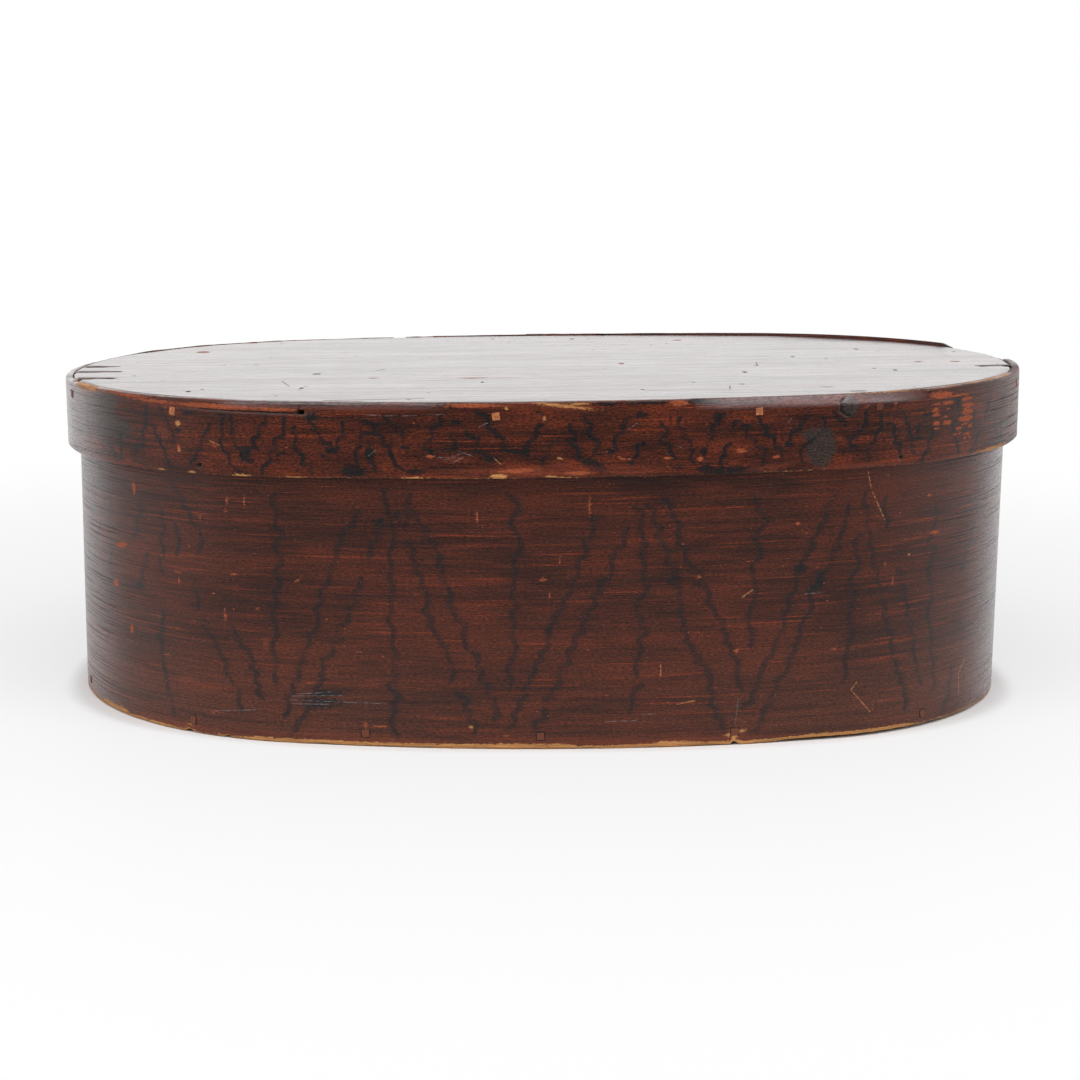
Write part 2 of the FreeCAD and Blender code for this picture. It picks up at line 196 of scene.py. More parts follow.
LID_LINES = (
    ((-262, 6), (-260, 1), (-263, -5), (-260, -12), (-258, -19)), ((-240, -14), (-235, -18), (-233, -22)),
    ((-228.5, -9), (-228, -16), (-229.5, -22)),
    ((-208, 7), (-208.5, 3), (-208.5, -4), (-211, -5), (-211, -11), (-212, -13.5), (-216.5, -13.5),
     (-216.5, -16), (-218, -18), (-218.5, -20.5), (-219.5, -24)),
    ((-199, 6.5), (-196, 3.5), (-194, 0), (-192.5, -4), (-190.5, -5), (-191, -10)),
    ((-205, -3), (-202.5, -3), (-202.5, -6.5), (-200, -9), (-199, -12), (-196.5, -14), (-196.5, -17),
     (-195, -19), (-193.5, -22), (-193, -24)),
    ((-185, 7), (-185, 5), (-181, 5)),
    ((-170, 0), (-171, -3), (-173, -5), (-174.5, -8), (-175, -12), (-177.5, -13), (-178, -16.5),
     (-181, -18.5)),
    ((-166, 7), (-164, 5), (-162, 4.5), (-163.5, 0), (-163, -5), (-164.5, -8), (-163, -12.5),
     (-160, -14.5), (-159.5, -19), (-156, -21), (-154, -23.5)),
    ((-158.5, 6), (-158.5, 2), (-158, -2), (-157.5, -5)),
    ((-157, -9.5), (-155, -11), (-150, -10.5), (-150, -14), (-153, -16), (-148, -17)),
    ((-141, 5.5), (-141, 1.5), (-144.5, 0), (-144.5, -5), (-147.5, -6), (-147.5, -10), (-145.5, -10.5)),
    ((-132, 4), (-132.5, -4.5), (-137, -6), (-137, -9), (-136, -11), (-139.5, -12), (-139, -16.5),
     (-143, -19), (-143.5, -23)),
    ((-136, -14), (-133, -12.5)),
    ((-127, 0), (-128.5, -2), (-126, -4.5), (-127.5, -8), (-127, -11), (-123, -14), (-124, -18),
     (-119.5, -18), (-119.5, -22)),
    ((-120, 5), (-120, 2)),
    ((-118, 1), (-117, -2), (-114.5, -5), (-113, -7.5), (-110, -8), (-110, -11), (-106.5, -11),
     (-107, -7), (-105, -5), (-103, -4), (-104, -1), (-104, 2)),
    ((-115, -13), (-111, -15)), ((-89, -2.5), (-95, -3), (-96, -5)),
    ((-87, 2), (-89, 0), (-89, -3), (-85, -3.5), (-85, -8), (-82, -9), (-81.5, -13), (-80, -15),
     (-79.5, -18), (-76, -19.5)),
    ((-94, 3), (-91, 2)), ((-84, 4.5), (-82, 3), (-80.5, 1), (-78, 0.5)),
    ((-79, -2), (-75.5, -2), (-76, -4)),
    ((-95.5, -9), (-98, -11), (-98, -15), (-97, -18), (-103, -18.5), (-103, -22)),
    ((-91.5, -8), (-91.5, -14), (-90, -17), (-89, -20)),
    ((-58, 5), (-57.5, 2), (-62, 0), (-62, -3), (-61, -5), (-65.5, -7), (-65.5, -9), (-62.5, -12)),
    ((-53, -4), (-51, -6.5), (-50.5, -10), (-57, -10.5)), ((-52, 2.5), (-49, 2.5)),
    ((-76, -9), (-73, -9.5)),
    ((-46, -2), (-45, -4), (-40, -5), (-40.5, -7), (-42, -11), (-37, -12.5), (-36, -15.5), (-30, -16)),
    ((-41, 7), (-36, 5.5), (-35.5, 3), (-36, 0), (-32.5, -1.5), (-31.5, -4), (-28.5, -5), (-28.5, -10),
     (-25, -11.5), (-19.5, -12)),
    ((-13, 7), (-10, 6)), ((-10, 1), (-13, 0), (-13, -4.5), (-17, -7), (-18, -10), (-17.5, -13)),
    ((-3, -6), (-7, -8.5), (-7.5, -13), (-10, -14.5), (-10.5, -18)),
    ((2.5, 1), (2.5, -1.5), (5, -3), (5, -6), (2, -6.5), (3, -8.5), (6, -9.5), (6.5, -13)),
    ((9.5, 6), (9.5, 3), (12.5, 1.5), (12.5, -1.5), (10.5, -2.5), (12, -5), (16, -7), (16, -9.5),
     (14, -11), (16, -13.5), (19, -13)),
    ((31, 4), (28, 2), (27.5, -3), (23.5, -5), (23.5, -9), (24.5, -12), (20, -12)),
    ((38, -8.5), (34.5, -9), (34.5, -14), (31.5, -16), (31.5, -18.5)),
    ((45.5, 1.5), (46, -0.5), (48.5, -1.5), (48.5, -4.5), (46, -5.5), (45.5, -8), (49.5, -9),
     (50, -12.5), (52, -16)),
    ((54.5, 3), (53.5, 1), (54, -1.5), (57, -3), (56, -6.5), (60, -8), (60.5, -13), (59.5, -16),
     (61.5, -19)),
    ((76, 4), (72, 3), (73, 0), (69.5, -1.5), (70.5, -6), (67.5, -9), (67.5, -11), (66, -14)),
    ((83, 1), (80.5, 0), (80, -3.5)), ((79, -10), (76, -11), (76.5, -15), (74.5, -16), (74.5, -20)),
    ((84.5, -1.5), (88, -1.5), (86.5, -4), (87, -6.5), (91, -8), (91.5, -11.5), (96.5, -13), (95.5, -16),
     (95, -20), (93, -23)),
    ((92, 4), (93.5, 1), (93.5, -1), (97, -2.5), (96, -6), (100, -7.5), (101, -12), (104, -13.5),
     (104, -16)),
    ((117, 4), (116.5, 1), (113.5, -1), (113.5, -4), (109, -5), (108.5, -8), (107.5, -12)),
    ((120, -9), (114, -13), (113.5, -16), (114.5, -20)), ((124, 2), (126, -1.5), (126, -4)),
    ((131, 3), (132, 0), (136, -1), (136, -3.5)),
    ((147, 3), (147, -3), (144, -6), (142.5, -8.5), (137, -9.5)), ((138.5, -11), (139, -13), (142, -14)),
    ((155, 1), (155.5, -6), (152.5, -8), (152, -12), (148.5, -14), (148.5, -21)),
    ((160, -3.5), (163, -5), (162.5, -9), (164.5, -10.5), (163, -13), (167, -14), (166, -18), (168, -21)),
    ((166, 3), (169, 0.5), (169.5, -3), (171.5, -5), (172, -9), (173.5, -11), (173.5, -17), (175, -19)),
    ((186, -0.5), (182, -0.5), (181.5, -4), (177, -6), (177.5, -10), (178.5, -12)),
    ((187.5, -9), (187, -12.5), (184, -14), (184.5, -18), (181, -20.5), (180, -24)),
    ((202, 5), (206, 5), (206, 0), (206.5, -3)), ((201.5, -5), (201, -9), (203, -11)),
    ((203, -13), (205, -17.5), (206, -19), (206, -23)), ((219, -3), (218, -8)),
    ((228, -12), (223, -14), (221.5, -18), (218, -22)), ((236, 4), (232, -2), (229, -7)),
    ((241, -8), (242, -12), (244, -14), (246, -19)),
    ((256, 5), (252, 0), (254, -6), (250, -13), (251, -20)),
)
# Ruled lines round the ends: their spacing, and how low and high they reach
BODY_PERIOD = 50.0
LID_PERIOD = 13.0
BODY_RULED = (12.0, 122.0)
LID_RULED = (-22.0, 6.0)

# Marks as (along, up, half length, half height, slope)
BODY_BLOTS = (
    (117, 86, 3.6, 2.4, 0), (127, 79, 2.2, 4, 0), (125, 76, 4.5, 1.8, 0.1), (221, 77, 3, 2, 0),
    (-148, 35, 1.8, 1.5, 0), (-113, 26, 9, 1.4, 0.05), (-116, 22, 11, 1.3, 0), (-118, 18.5, 8, 1, 0),
    (-133, 15, 2, 1.5, 0.6), (-6, 59, 2, 1.5, 0), (-219, 71, 4, 1.4, 0), (55, 84, 3, 1.2, -0.2),
    (-87, 112, 3, 1.5, 0.3), (91, 20, 2.6, 0.9, 0.2), (128, 84, 3.6, 0.9, 0.15),
)
BODY_FLAKES = (
    (-222, 121, 1.3, 3.4, -0.5), (-162, 120, 0.7, 2, 0), (-163, 115, 1.2, 0.6, 0),
    (-153, 120, 0.4, 2.6, 0), (-234, 90, 5, 1.4, 0.2), (-241, 69, 3, 2, 0.1), (-206, 33.5, 1.8, 0.5, 0),
    (-202, 89, 1.1, 0.8, 0), (-192, 82, 3.4, 0.5, -0.15), (-191, 77, 0.7, 1.6, 0),
    (-200, 38, 1.5, 0.5, 0), (-164, 62, 0.7, 3.2, 0), (-159, 83.5, 1.6, 0.6, 0.1),
    (-147, 96.5, 0.9, 0.6, 0), (-126.5, 82.3, 1.3, 0.8, 0.5), (-170.5, 73, 0.9, 0.7, 0),
    (-227, 47, 1.4, 2.6, 0), (-177.5, 111, 0.5, 1.4, 0), (-173, 11.3, 5, 0.5, 0),
    (-171, 13.2, 4, 0.4, 0), (-94, 11, 1.3, 1.2, 0), (-93.8, 15, 0.4, 4.6, 0), (-87, 10.3, 4, 0.45, 0),
    (-147, 67, 1.5, 0.8, 0), (-121, 31, 2, 0.45, 0), (-98, 47.5, 2, 0.8, 0), (-114, 121, 1.5, 0.5, 0),
    (-40.5, 114, 0.6, 2.6, 0), (-38, 110, 0.9, 0.7, -0.6), (-9, 84, 2.2, 0.9, 0.3),
    (-5.5, 76, 0.4, 1.4, 0), (30, 60, 1.8, 0.8, -0.35), (41.5, 86, 1.8, 0.5, 0), (85.5, 47, 1.6, 0.8, 0),
    (91, 90.5, 1.6, 0.35, 0), (66, 84, 1.5, 1, 0), (-26, 7, 2, 0.5, 0), (135.5, 44.8, 1.4, 0.7, -0.2),
    (195, 97.5, 4, 1.1, -0.12), (167, 48, 2.5, 0.6, 0), (163, 129, 1.1, 0.6, 0), (190, 116, 1.6, 1, 0),
    (230, 98.6, 1.8, 0.5, -0.2), (192, 39, 3, 0.45, 0), (240, 88.5, 2.2, 0.5, -0.2),
    (13, 119, 0.6, 4.5, 0), (-1, 93, 0.6, 1.6, 0), (62, 128, 1.3, 0.6, 0), (168, 76, 0.5, 2.2, -0.3),
    (163, 85, 0.5, 2, -0.2), (17, 6, 1.2, 0.6, 0), (115, 107.5, 1.3, 1, 0),
)
BODY_BARE = (
    (84, 5, 3, 1, 0), (90, 7, 2.2, 0.7, 0.2), (86, 4.5, 1.4, 1.8, 0), (-43, 11, 1.3, 1, 0.2),
    (177.8, 88.6, 0.8, 0.8, 0), (-186, 3, 1.6, 0.6, 0),
)
BODY_PEEL = (
    (-110, 2.5, 60, 3.5, 0), (60, 2.5, 50, 2.5, 0), (-200, 3, 30, 3, 0), (86, 5, 7, 3.5, 0),
    (-187, 28, 6, 2.2, 0), (-143, 50, 1.8, 3, 0), (10, 3, 40, 2, 0),
)
# How high the wood shows bare along the body's lower edge, as (along, height)
GOLDEN_EDGE = (
    (-262, 1.5), (-258, 3.0), (-236, 3.0), (-230, 1.3), (-184, 1.2), (-178, 0.7), (-155, 0.8),
    (-150, 1.9), (-60, 1.9), (-50, 2.3), (4, 2.2), (10, 1.5), (45, 1.5), (50, 2.5), (64, 2.4), (70, 1.9),
    (118, 1.5), (125, 2.2), (180, 2.1), (188, 0.7), (200, 0.5), (206, 0.8), (250, 1.0), (262, 1.3),
)
LID_BLOTS = (
    (-109.5, -11, 3.5, 1.6, 0), (-99, -21, 6, 2.5, 0), (-91.5, -12.5, 2.2, 4, 0), (-92, 2.5, 3, 1, 0),
    (-70, -21, 5, 1.5, 0), (-34, -15, 3, 1.5, 0), (-17.5, -12, 1.6, 1.4, 0), (14, -18.5, 7, 3, -0.4),
    (22, -12, 2.5, 1.2, 0), (66, -13, 2, 2, 0), (107.5, -11, 1.8, 1.8, 0), (140, -9.5, 3.5, 1, 0),
    (177, -12, 2, 1.2, 0), (204, 4, 3, 1.5, 0), (218, -22, 3, 1.5, 0), (78, -22.5, 12, 1.9, 0),
    (67, -21, 3.5, 2, 0), (-152, -13, 2.6, 2.2, 0.5), (-188, -4, 1.6, 1.6, 0), (-181, 5, 3, 1.1, 0.2),
    (-63, -11, 2.4, 1, 0), (54, -20, 2.5, 0.9, 0), (36, 5, 3, 1.4, 0), (73, 3, 2.6, 2.4, 0),
    (7, -15, 2, 1.2, 0), (179, -23.5, 3, 0.9, 0), (-118, 4.6, 3.4, 1, 0.1), (20, 10.5, 6, 1.2, 0),
    (36, 11, 14, 0.9, 0), (64, 11, 8, 1.3, -0.1),
)
LID_OLIVE = (
    (-119, 5.2, 3.6, 2.2, 0), (-246, -1, 14, 11, 0), (-230, -6, 10, 5.5, 0), (-240, 7, 11, 4, 0),
    (124, -13, 7.5, 10, 0), (119, -7, 4.5, 3, 0), (138.5, 6.3, 4.8, 4.8, 0),
)
LID_FLAKES = (
    (192.5, 8.3, 7.5, 1.9, -0.04), (205, 7, 11, 0.6, 0), (197, 4, 4.5, 0.9, 0), (189, 4, 2.5, 0.5, 0),
    (212, 4.6, 4, 1, 0), (188.5, 1, 2, 0.9, 0), (197.5, 1, 1.5, 0.5, 0), (213, 1.4, 5.2, 1.2, 0),
    (189, -1.4, 2.6, 0.9, 0), (213, -1.8, 5, 1.5, 0), (195.5, -3, 2.6, 0.5, 0), (189.5, -5.5, 2.6, 1, 0),
    (197, -5.8, 3.2, 1.2, 0), (211.5, -5.3, 6, 1.3, 0), (190, -8, 2, 0.5, 0), (206, -9.6, 2, 0.8, 0),
    (215.5, -9.3, 2, 0.8, 0), (212, -8, 3, 0.5, 0), (203, -12.3, 1.5, 0.6, 0),
    (206.5, -12.3, 1.5, 0.7, 0), (213, -12.8, 3, 0.7, 0), (211, -14.8, 1, 0.6, 0),
    (215.5, -15, 1.6, 0.6, 0), (-43, 10.6, 13, 0.9, 0), (54, 10.3, 4.6, 1.3, 0),
    (-188, -12.3, 0.9, 1.7, 0), (84, -13.2, 2.2, 1.1, 0), (101.5, -16.8, 1.8, 0.8, 0),
    (64.5, -16.5, 1.6, 0.9, 0), (-63, -13.5, 1.7, 0.8, 0), (-166, 8.7, 20, 1.2, -0.02),
    (-203, 9.4, 14, 0.7, -0.02), (-137, 8, 10, 0.9, 0), (-222, 10.9, 14, 0.5, 0),
    (-236, 12.3, 6, 0.7, 0), (-177.8, -6.2, 0.8, 0.4, 0), (-167, -10.4, 2.4, 0.35, -0.25),
    (26.5, -15.2, 1.6, 0.6, -0.4), (49, -16, 2.4, 0.5, 0), (31, -16, 1.4, 0.5, 0),
    (155, 5.8, 1.2, 0.5, 0), (147, 5.6, 1.6, 0.5, 0), (163, 6, 2, 0.4, 0), (-22, -20.5, 9, 0.9, 0.05),
    (6, -22, 6, 0.8, 0),
)
LID_BARE = (
    (-262, 11.7, 15, 1.7, 0.0), (-1, 10.0, 12, 0.75, -0.13), (-31, -23.3, 3.8, 1.3, 0),
    (-71, -24.2, 5, 0.6, 0), (-50, -24.6, 12, 0.35, 0), (0, -24.3, 5, 0.5, 0), (-154, -24, 4, 0.7, 0),
    (-127.5, -24.3, 3.6, 0.5, 0), (-199.5, -24.2, 2.4, 0.7, 0), (-180.5, -23.8, 1.7, 0.8, 0),
    (241, -23.6, 17, 0.9, 0.01), (-188, -0.6, 1.5, 1.3, 0), (-9.4, 3.6, 0.7, 1.3, 0.4),
    (-1.6, -14.9, 1.3, 0.5, 0), (-27, 9.4, 0.8, 1.0, 0), (-7, -23.6, 2, 0.5, 0), (240, 12.6, 34, 0.5, 0),
    (160, 11.8, 12, 0.35, 0), (-110, -24.6, 9, 0.3, 0), (-187.5, -13.5, 0.7, 0.8, 0),
    (105, -24.6, 14, 0.3, 0), (6, 10.8, 4, 0.5, 0),
)
LID_PEEL = (
    (-240, -24, 36, 2.2, 0.01), (-20, -21.5, 44, 3.4, 0.02), (30, -21, 16, 2.4, 0),
    (100, -22, 12, 1.8, 0.1), (105, -21, 8, 1.4, 0.15), (148, -23.6, 26, 1.9, 0.02),
    (200, -24.4, 30, 1.2, 0.02), (-168, 8.4, 46, 2.2, -0.02), (-90, 8.6, 36, 1.7, 0),
    (-30, 10.5, 26, 1.6, 0), (0, 9.8, 16, 2, -0.1), (-260, 10, 16, 1.8, 0.08),
)
LID_SCRATCHES = (((-165, -9.2), (-170, -7.4)), ((-33, -14), (-30, -17)))
LID_SCUFFS = (
    ((-56, -15), (-48, -11.5)), ((-53, -16.5), (-46, -13)), ((-50, -10.5), (-43, -13)),
    ((-60, -13.5), (-48, -14.2)), ((-93, 7.0), (-86, 6.6)), ((-84, 6.5), (-78, 6.6)),
    ((-76, 6.5), (-69, 6.8)), ((-64, 7.1), (-56, 7.3)), ((-40, 1), (-36, 3)), ((30, -1), (34, 2)),
    ((-92, -13), (-88, -10)), ((107, 0), (109, 2.6)), ((53, -9), (56, -11)),
)
LID_SPLIT_LINE = (
    ((-176, 8.5), (-161, 8.1)), ((-161, 8.1), (-143, 7.7)), ((-143, 7.7), (-124, 7.3)),
    ((-124.9, 8), (-124.4, 11.5)), ((-117.6, 7.6), (-118.8, 4.6)),
)
# Where the lid band's top face shows bare wood, as (start, end) along it
GOLDEN_TOPS = ((-292.0, -251.0), (197.0, 267.0))
# Thin bright scratches, from one end to the other
BODY_SCRATCHES = (
    ((151, 131), (153, 123)), ((154, 121), (161.5, 107)), ((146, 24), (157.5, 12)),
    ((146, 24), (149, 27.5)), ((222, 22), (223.5, 11)), ((222, 22), (227.5, 28)), ((88, 73), (93, 76.5)),
    ((57, 21.5), (66, 23)), ((48.5, 41), (48.5, 36)),
)
BODY_SCUFFS = (
    ((86.3, 11), (87.4, 24)), ((39, 17), (46, 16.8)), ((21, 13.6), (37, 13.8)),
    ((120, 73.2), (129, 73.4)), ((-130, 24), (-104, 25.5)), ((-132, 22), (-100, 22)),
    ((-130, 20), (-112, 20.6)), ((-100, 22), (-84, 21.8)), ((-172, 13), (-148, 16)),
    ((-110, 27), (-128, 25)),
)
KNOT_PLACE = (138.5, 6.3)
KNOT_RADIUS = 4.7
NAIL_HOLES = ((-176.4, -20.0), (167.2, -20.5))
NAIL_HOLE_RADIUS = 0.9
SPLIT_START = -212.0
SPLIT_END = -126.0
SPLIT_HEIGHTS = (7.8, 6.4)
MARK_REACH = 6.0
MARK_KINDS = ("brush", "blot", "olive", "flake", "peel", "bare")
BODY_NOTCHES = ((-186.5, 1.2), (-164.0, 0.7), (86.0, 1.5))
WORN_FOOT = (125.0, 238.0)
WORN_FOOT_DEPTH = 1.1
BACK_NICK = -603.0
BACK_WORN_LOW = (345.0, 409.0)
LID_BEVEL = (66.0, 178.0)
LID_SOFT_EDGE = (-160.0, -60.0)


def wobble(x, y, seed=0.0):
    """Smooth noise between about -1 and 1 for arrays of places."""
    flat = zip(np.ravel(x).tolist(), np.ravel(y).tolist())
    values = [noise.noise(Vector((a, b, seed))) for a, b in flat]
    return np.array(values).reshape(np.shape(x))


def wobble_along(u, pace, seed):
    """Noise that changes along the band and not up it."""
    return wobble(u * pace, u * 0, seed)


def smooth(low, high, x):
    t = np.clip((x - low) / (high - low), 0.0, 1.0)
    return t * t * (3 - 2 * t)


def bump_between(start, end, soft, x):
    """1 between two places, falling smoothly to 0 over a soft distance outside them."""
    return smooth(start - soft, start, x) * (1 - smooth(end, end + soft, x))


def stepped(line, jog, seed):
    """A brush line drawn downwards in short runs, with small sideways jogs between them."""
    draw = random.Random(seed)
    points = []
    for (u0, v0), (u1, v1) in zip(line, line[1:]):
        count = max(1, round(abs(v1 - v0) / 4.0))
        for step in range(count):
            t = step / count
            aside = jog * draw.uniform(-1, 1)
            points.append((u0 + (u1 - u0) * t + aside, v0 + (v1 - v0) * t))
            onward = u0 + (u1 - u0) * t + aside * 0.4 + (u1 - u0) * 0.3 / count
            points.append((onward, v0 + (v1 - v0) * (t + 0.6 / count)))
    points.append(line[-1])
    return points


def ruled_zigzag(start, end, seed):
    """Peaks and valleys of doubled lines, with an upright line at each, for the ends of the body."""
    low, high = BODY_RULED
    middle = (low + high) / 2
    draw = random.Random(seed)
    lines = []
    for index in range(int((end - start) / BODY_PERIOD)):
        foot = start + index * BODY_PERIOD
        head = foot + BODY_PERIOD
        if index % 2:
            foot, head = head, foot
        for gap in (-4.0, 7.0):
            cut = draw.uniform(0, 12)
            lines.append(((head + gap, high - cut), ((foot + head) / 2 + gap, middle), (foot + gap, low + cut)))
        lines.append(((foot + 2, high - 6), (foot - 2, middle), (foot + 1, low + draw.uniform(0, 20))))
    return lines


def ruled_stairs(start, end, seed):
    """Close stepped lines that lean both ways, for the ends of the lid."""
    low, high = LID_RULED
    draw = random.Random(seed)
    lines = []
    for index in range(int((end - start) / LID_PERIOD)):
        u = start + (index + 0.5) * LID_PERIOD + draw.uniform(-2, 2)
        lean = 1 if index % 2 else -1
        v = high - draw.uniform(0, 6)
        line = [(u, v)]
        while v > low + draw.uniform(0, 7):
            v -= draw.uniform(3, 6)
            line.append((u, v))
            u += lean * draw.uniform(1, 4.5)
            line.append((u, v - 0.6))
        lines.append(line)
    return lines


def all_round(front, ruled, half, reach, jog):
    """The front's lines, the same the other way round for the back, and ruled lines at both ends."""
    back = [[(half - u, v) for u, v in line] for line in front]
    ends = ruled(reach + 5, half - reach - 5, 7) + ruled(reach + 5 - half, -reach - 5, 11)
    return list(front) + back + [stepped(line, jog, 100 + index) for index, line in enumerate(ends)]


def line_distance(columns, z, lines, half):
    """Distance from each place to the nearest brush line, in millimetres, up to the reach."""
    nearest = np.full(z.shape, MARK_REACH)
    for line in lines:
        us = [u for u, v in line]
        middle = (min(us) + max(us)) / 2
        from_middle = (columns - middle + half) % (2 * half) - half
        near = np.flatnonzero(np.abs(from_middle) < (max(us) - min(us)) / 2 + MARK_REACH)
        if not len(near):
            continue
        u = from_middle[near][:, None] + middle
        v = z[near]
        best = nearest[near]
        for (u0, v0), (u1, v1) in zip(line, line[1:]):
            du, dv = u1 - u0, v1 - v0
            t = np.clip(((u - u0) * du + (v - v0) * dv) / max(du * du + dv * dv, 1e-6), 0, 1)
            best = np.minimum(best, np.hypot(u - u0 - t * du, v - v0 - t * dv))
        nearest[near] = best
    return nearest


def mark_distance(u, z, marks):
    """Distance outside a set of sloping oval marks, in millimetres, and less than 0 inside them."""
    nearest = np.full(z.shape, MARK_REACH)
    for along, up, half_u, half_v, slope in marks:
        du = u - along
        dv = z - up - slope * du
        size = min(half_u, half_v)
        nearest = np.minimum(nearest, (np.hypot(du / half_u, dv / half_v) - 1) * size)
    return nearest


def oval_length(offset):
    side, tip = SIDE_RADIUS - offset, END_RADIUS - offset
    return 2 * (math.pi - 2 * TURN) * side + 4 * TURN * tip


def oval_at(offset, along):
    """Places and outward directions on an inset oval, by signed distance from the front's middle."""
    side, tip = SIDE_RADIUS - offset, END_RADIUS - offset
    half_side = (math.pi / 2 - TURN) * side
    half_end = 2 * TURN * tip
    total = oval_length(offset)
    wrapped = (np.asarray(along, float) + total / 2) % total - total / 2
    s = np.abs(wrapped)
    on_front = s <= half_side
    on_end = (s > half_side) & (s <= half_side + half_end)
    past_end = s - half_side - half_end
    angle = np.where(on_front, -math.pi / 2 + s / side,
                     np.where(on_end, -TURN + (s - half_side) / tip, TURN + past_end / side))
    centre_x = np.where(on_end, END_CENTRE, 0.0)
    centre_y = np.where(on_front, SIDE_CENTRE, np.where(on_end, 0.0, -SIDE_CENTRE))
    radius = np.where(on_end, tip, side)
    flip = np.where(wrapped < 0, -1.0, 1.0)
    nx, ny = np.cos(angle) * flip, np.sin(angle)
    return centre_x * flip + radius * nx, centre_y + radius * ny, nx, ny


def tilted(points):
    """Carry lid points from the lid's level frame onto the slanted rim."""
    x, y, z = points.T
    cos, sin = math.cos(LID_TILT), math.sin(LID_TILT)
    return np.stack([x * cos - z * sin, y, x * sin + z * cos + RIM_HEIGHT], 1)


def add_to_scene(name, data):
    thing = bpy.data.objects.new(name, data)
    bpy.context.scene.collection.objects.link(thing)
    return thing


def make_object(name, points, faces, materials, uv=None, slots=None, layers=None):
    mesh = bpy.data.meshes.new(name)
    mesh.from_pydata((points * MM).tolist(), [], faces)
    for material in materials:
        mesh.materials.append(material)
    corner = np.empty(len(mesh.loops), int)
    mesh.loops.foreach_get("vertex_index", corner)
    if uv is not None:
        layer = mesh.uv_layers.new(name="surface")
        layer.data.foreach_set("uv", (uv[corner] * MM).astype(np.float32).ravel())
    if slots is not None:
        mesh.polygons.foreach_set("material_index", slots)
    for key, values in (layers or {}).items():
        attribute = mesh.attributes.new(key, "FLOAT", "POINT")
        attribute.data.foreach_set("value", values.astype(np.float32))
    mesh.polygons.foreach_set("use_smooth", [True] * len(mesh.polygons))
    mesh.update()
    return add_to_scene(name, mesh)


class Strip:
    """A bent band: one strip with a feathered tail, a thinned outer end and fingers at its end."""

    def __init__(self, offset, thickness, zones, row_step, front_reach, front_step, back_step, inner_step,
                 painted_above=()):
        self.offset, self.thickness, self.zones = offset, thickness, zones
        self.length = oval_length(offset)
        self.roots = self.length + LAP_LENGTH - FINGER_LENGTH
        self.tips = self.length + LAP_LENGTH
        self.rows = self.make_rows(row_step, True)
        self.inner_rows = self.make_rows(inner_step, False, painted_above)
        front = self.length / 2 + LAP_LENGTH / 2
        stops = [0, LAP_FEATHER, front - front_reach, front + front_reach, self.length - LAP_HAIRLINE,
                 self.length, self.length + LAP_FEATHER, self.roots]
        steps = [back_step, back_step, front_step, back_step, back_step, back_step, back_step]
        self.columns = self.spread(stops, steps)
        self.finger_columns = self.spread([self.roots, self.tips], [back_step])

    @staticmethod
    def spread(stops, steps):
        parts = [np.linspace(a, b, max(1, round((b - a) / step)), endpoint=False)
                 for a, b, step in zip(stops, stops[1:], steps)]
        return np.append(np.concatenate(parts), stops[-1])

    def make_rows(self, step, fine_edges, extra=()):
        edges = [zone[0] for zone in self.zones] + [self.zones[-1][1]]
        rows = self.spread(edges, [step] * (len(edges) - 1))
        rows = np.unique(np.append(rows, extra))
        if fine_edges:
            near = np.array([0.2, 0.45, 0.75, 1.1, 1.6])
            rows = np.concatenate([rows, edges[0] + near, edges[-1] - near])
            rows = np.unique(np.round(rows, 4))
            inside = (rows > edges[0] + 1.61) & (rows < edges[0] + 1.61 + step / 2)
            inside |= (rows < edges[-1] - 1.61) & (rows > edges[-1] - 1.61 - step / 2)
            rows = rows[~inside]
        return rows

    def outer_lift(self, w):
        rise = (w - self.length) / LAP_FEATHER
        over = np.clip(rise, 0, 1) * (LAP_HAIRLINE + LAP_OUTER)
        tail = (1 - np.clip(w / LAP_FEATHER, 0, 1)) * (self.thickness - LAP_TIP)
        return over - tail

    def inner_lift(self, w):
        rise = np.clip((w - self.length) / LAP_FEATHER, 0, 1)
        mouth = w > self.length - LAP_HAIRLINE / 2
        start = -self.thickness + (LAP_TIP + LAP_HAIRLINE) * mouth
        return start + rise * (LAP_HAIRLINE - start)

    def u_of(self, w):
        return w - LAP_LENGTH / 2 - self.length / 2

    def point_grid(self, w, z, lift):
        x, y, nx, ny = oval_at(self.offset, self.u_of(w))
        return np.stack([x + nx * lift, y + ny * lift, z + 0 * x], -1)


def finger_sides(strip, w, low, high):
    """Heights of a finger's two sides, drawn in towards its tip along a gentle curve."""
    opening = (high - low - FINGER_TIP) / 2
    t = np.clip((w - strip.roots) / FINGER_LENGTH, 0, 1)
    bulge = 4 * (FINGER_BULGE - 0.5)
    drawn_in = opening * (t + bulge * t * (1 - t))
    return low + drawn_in, high - drawn_in


def rows_between(rows, low, high):
    return np.flatnonzero((rows >= low - 0.001) & (rows <= high + 0.001))


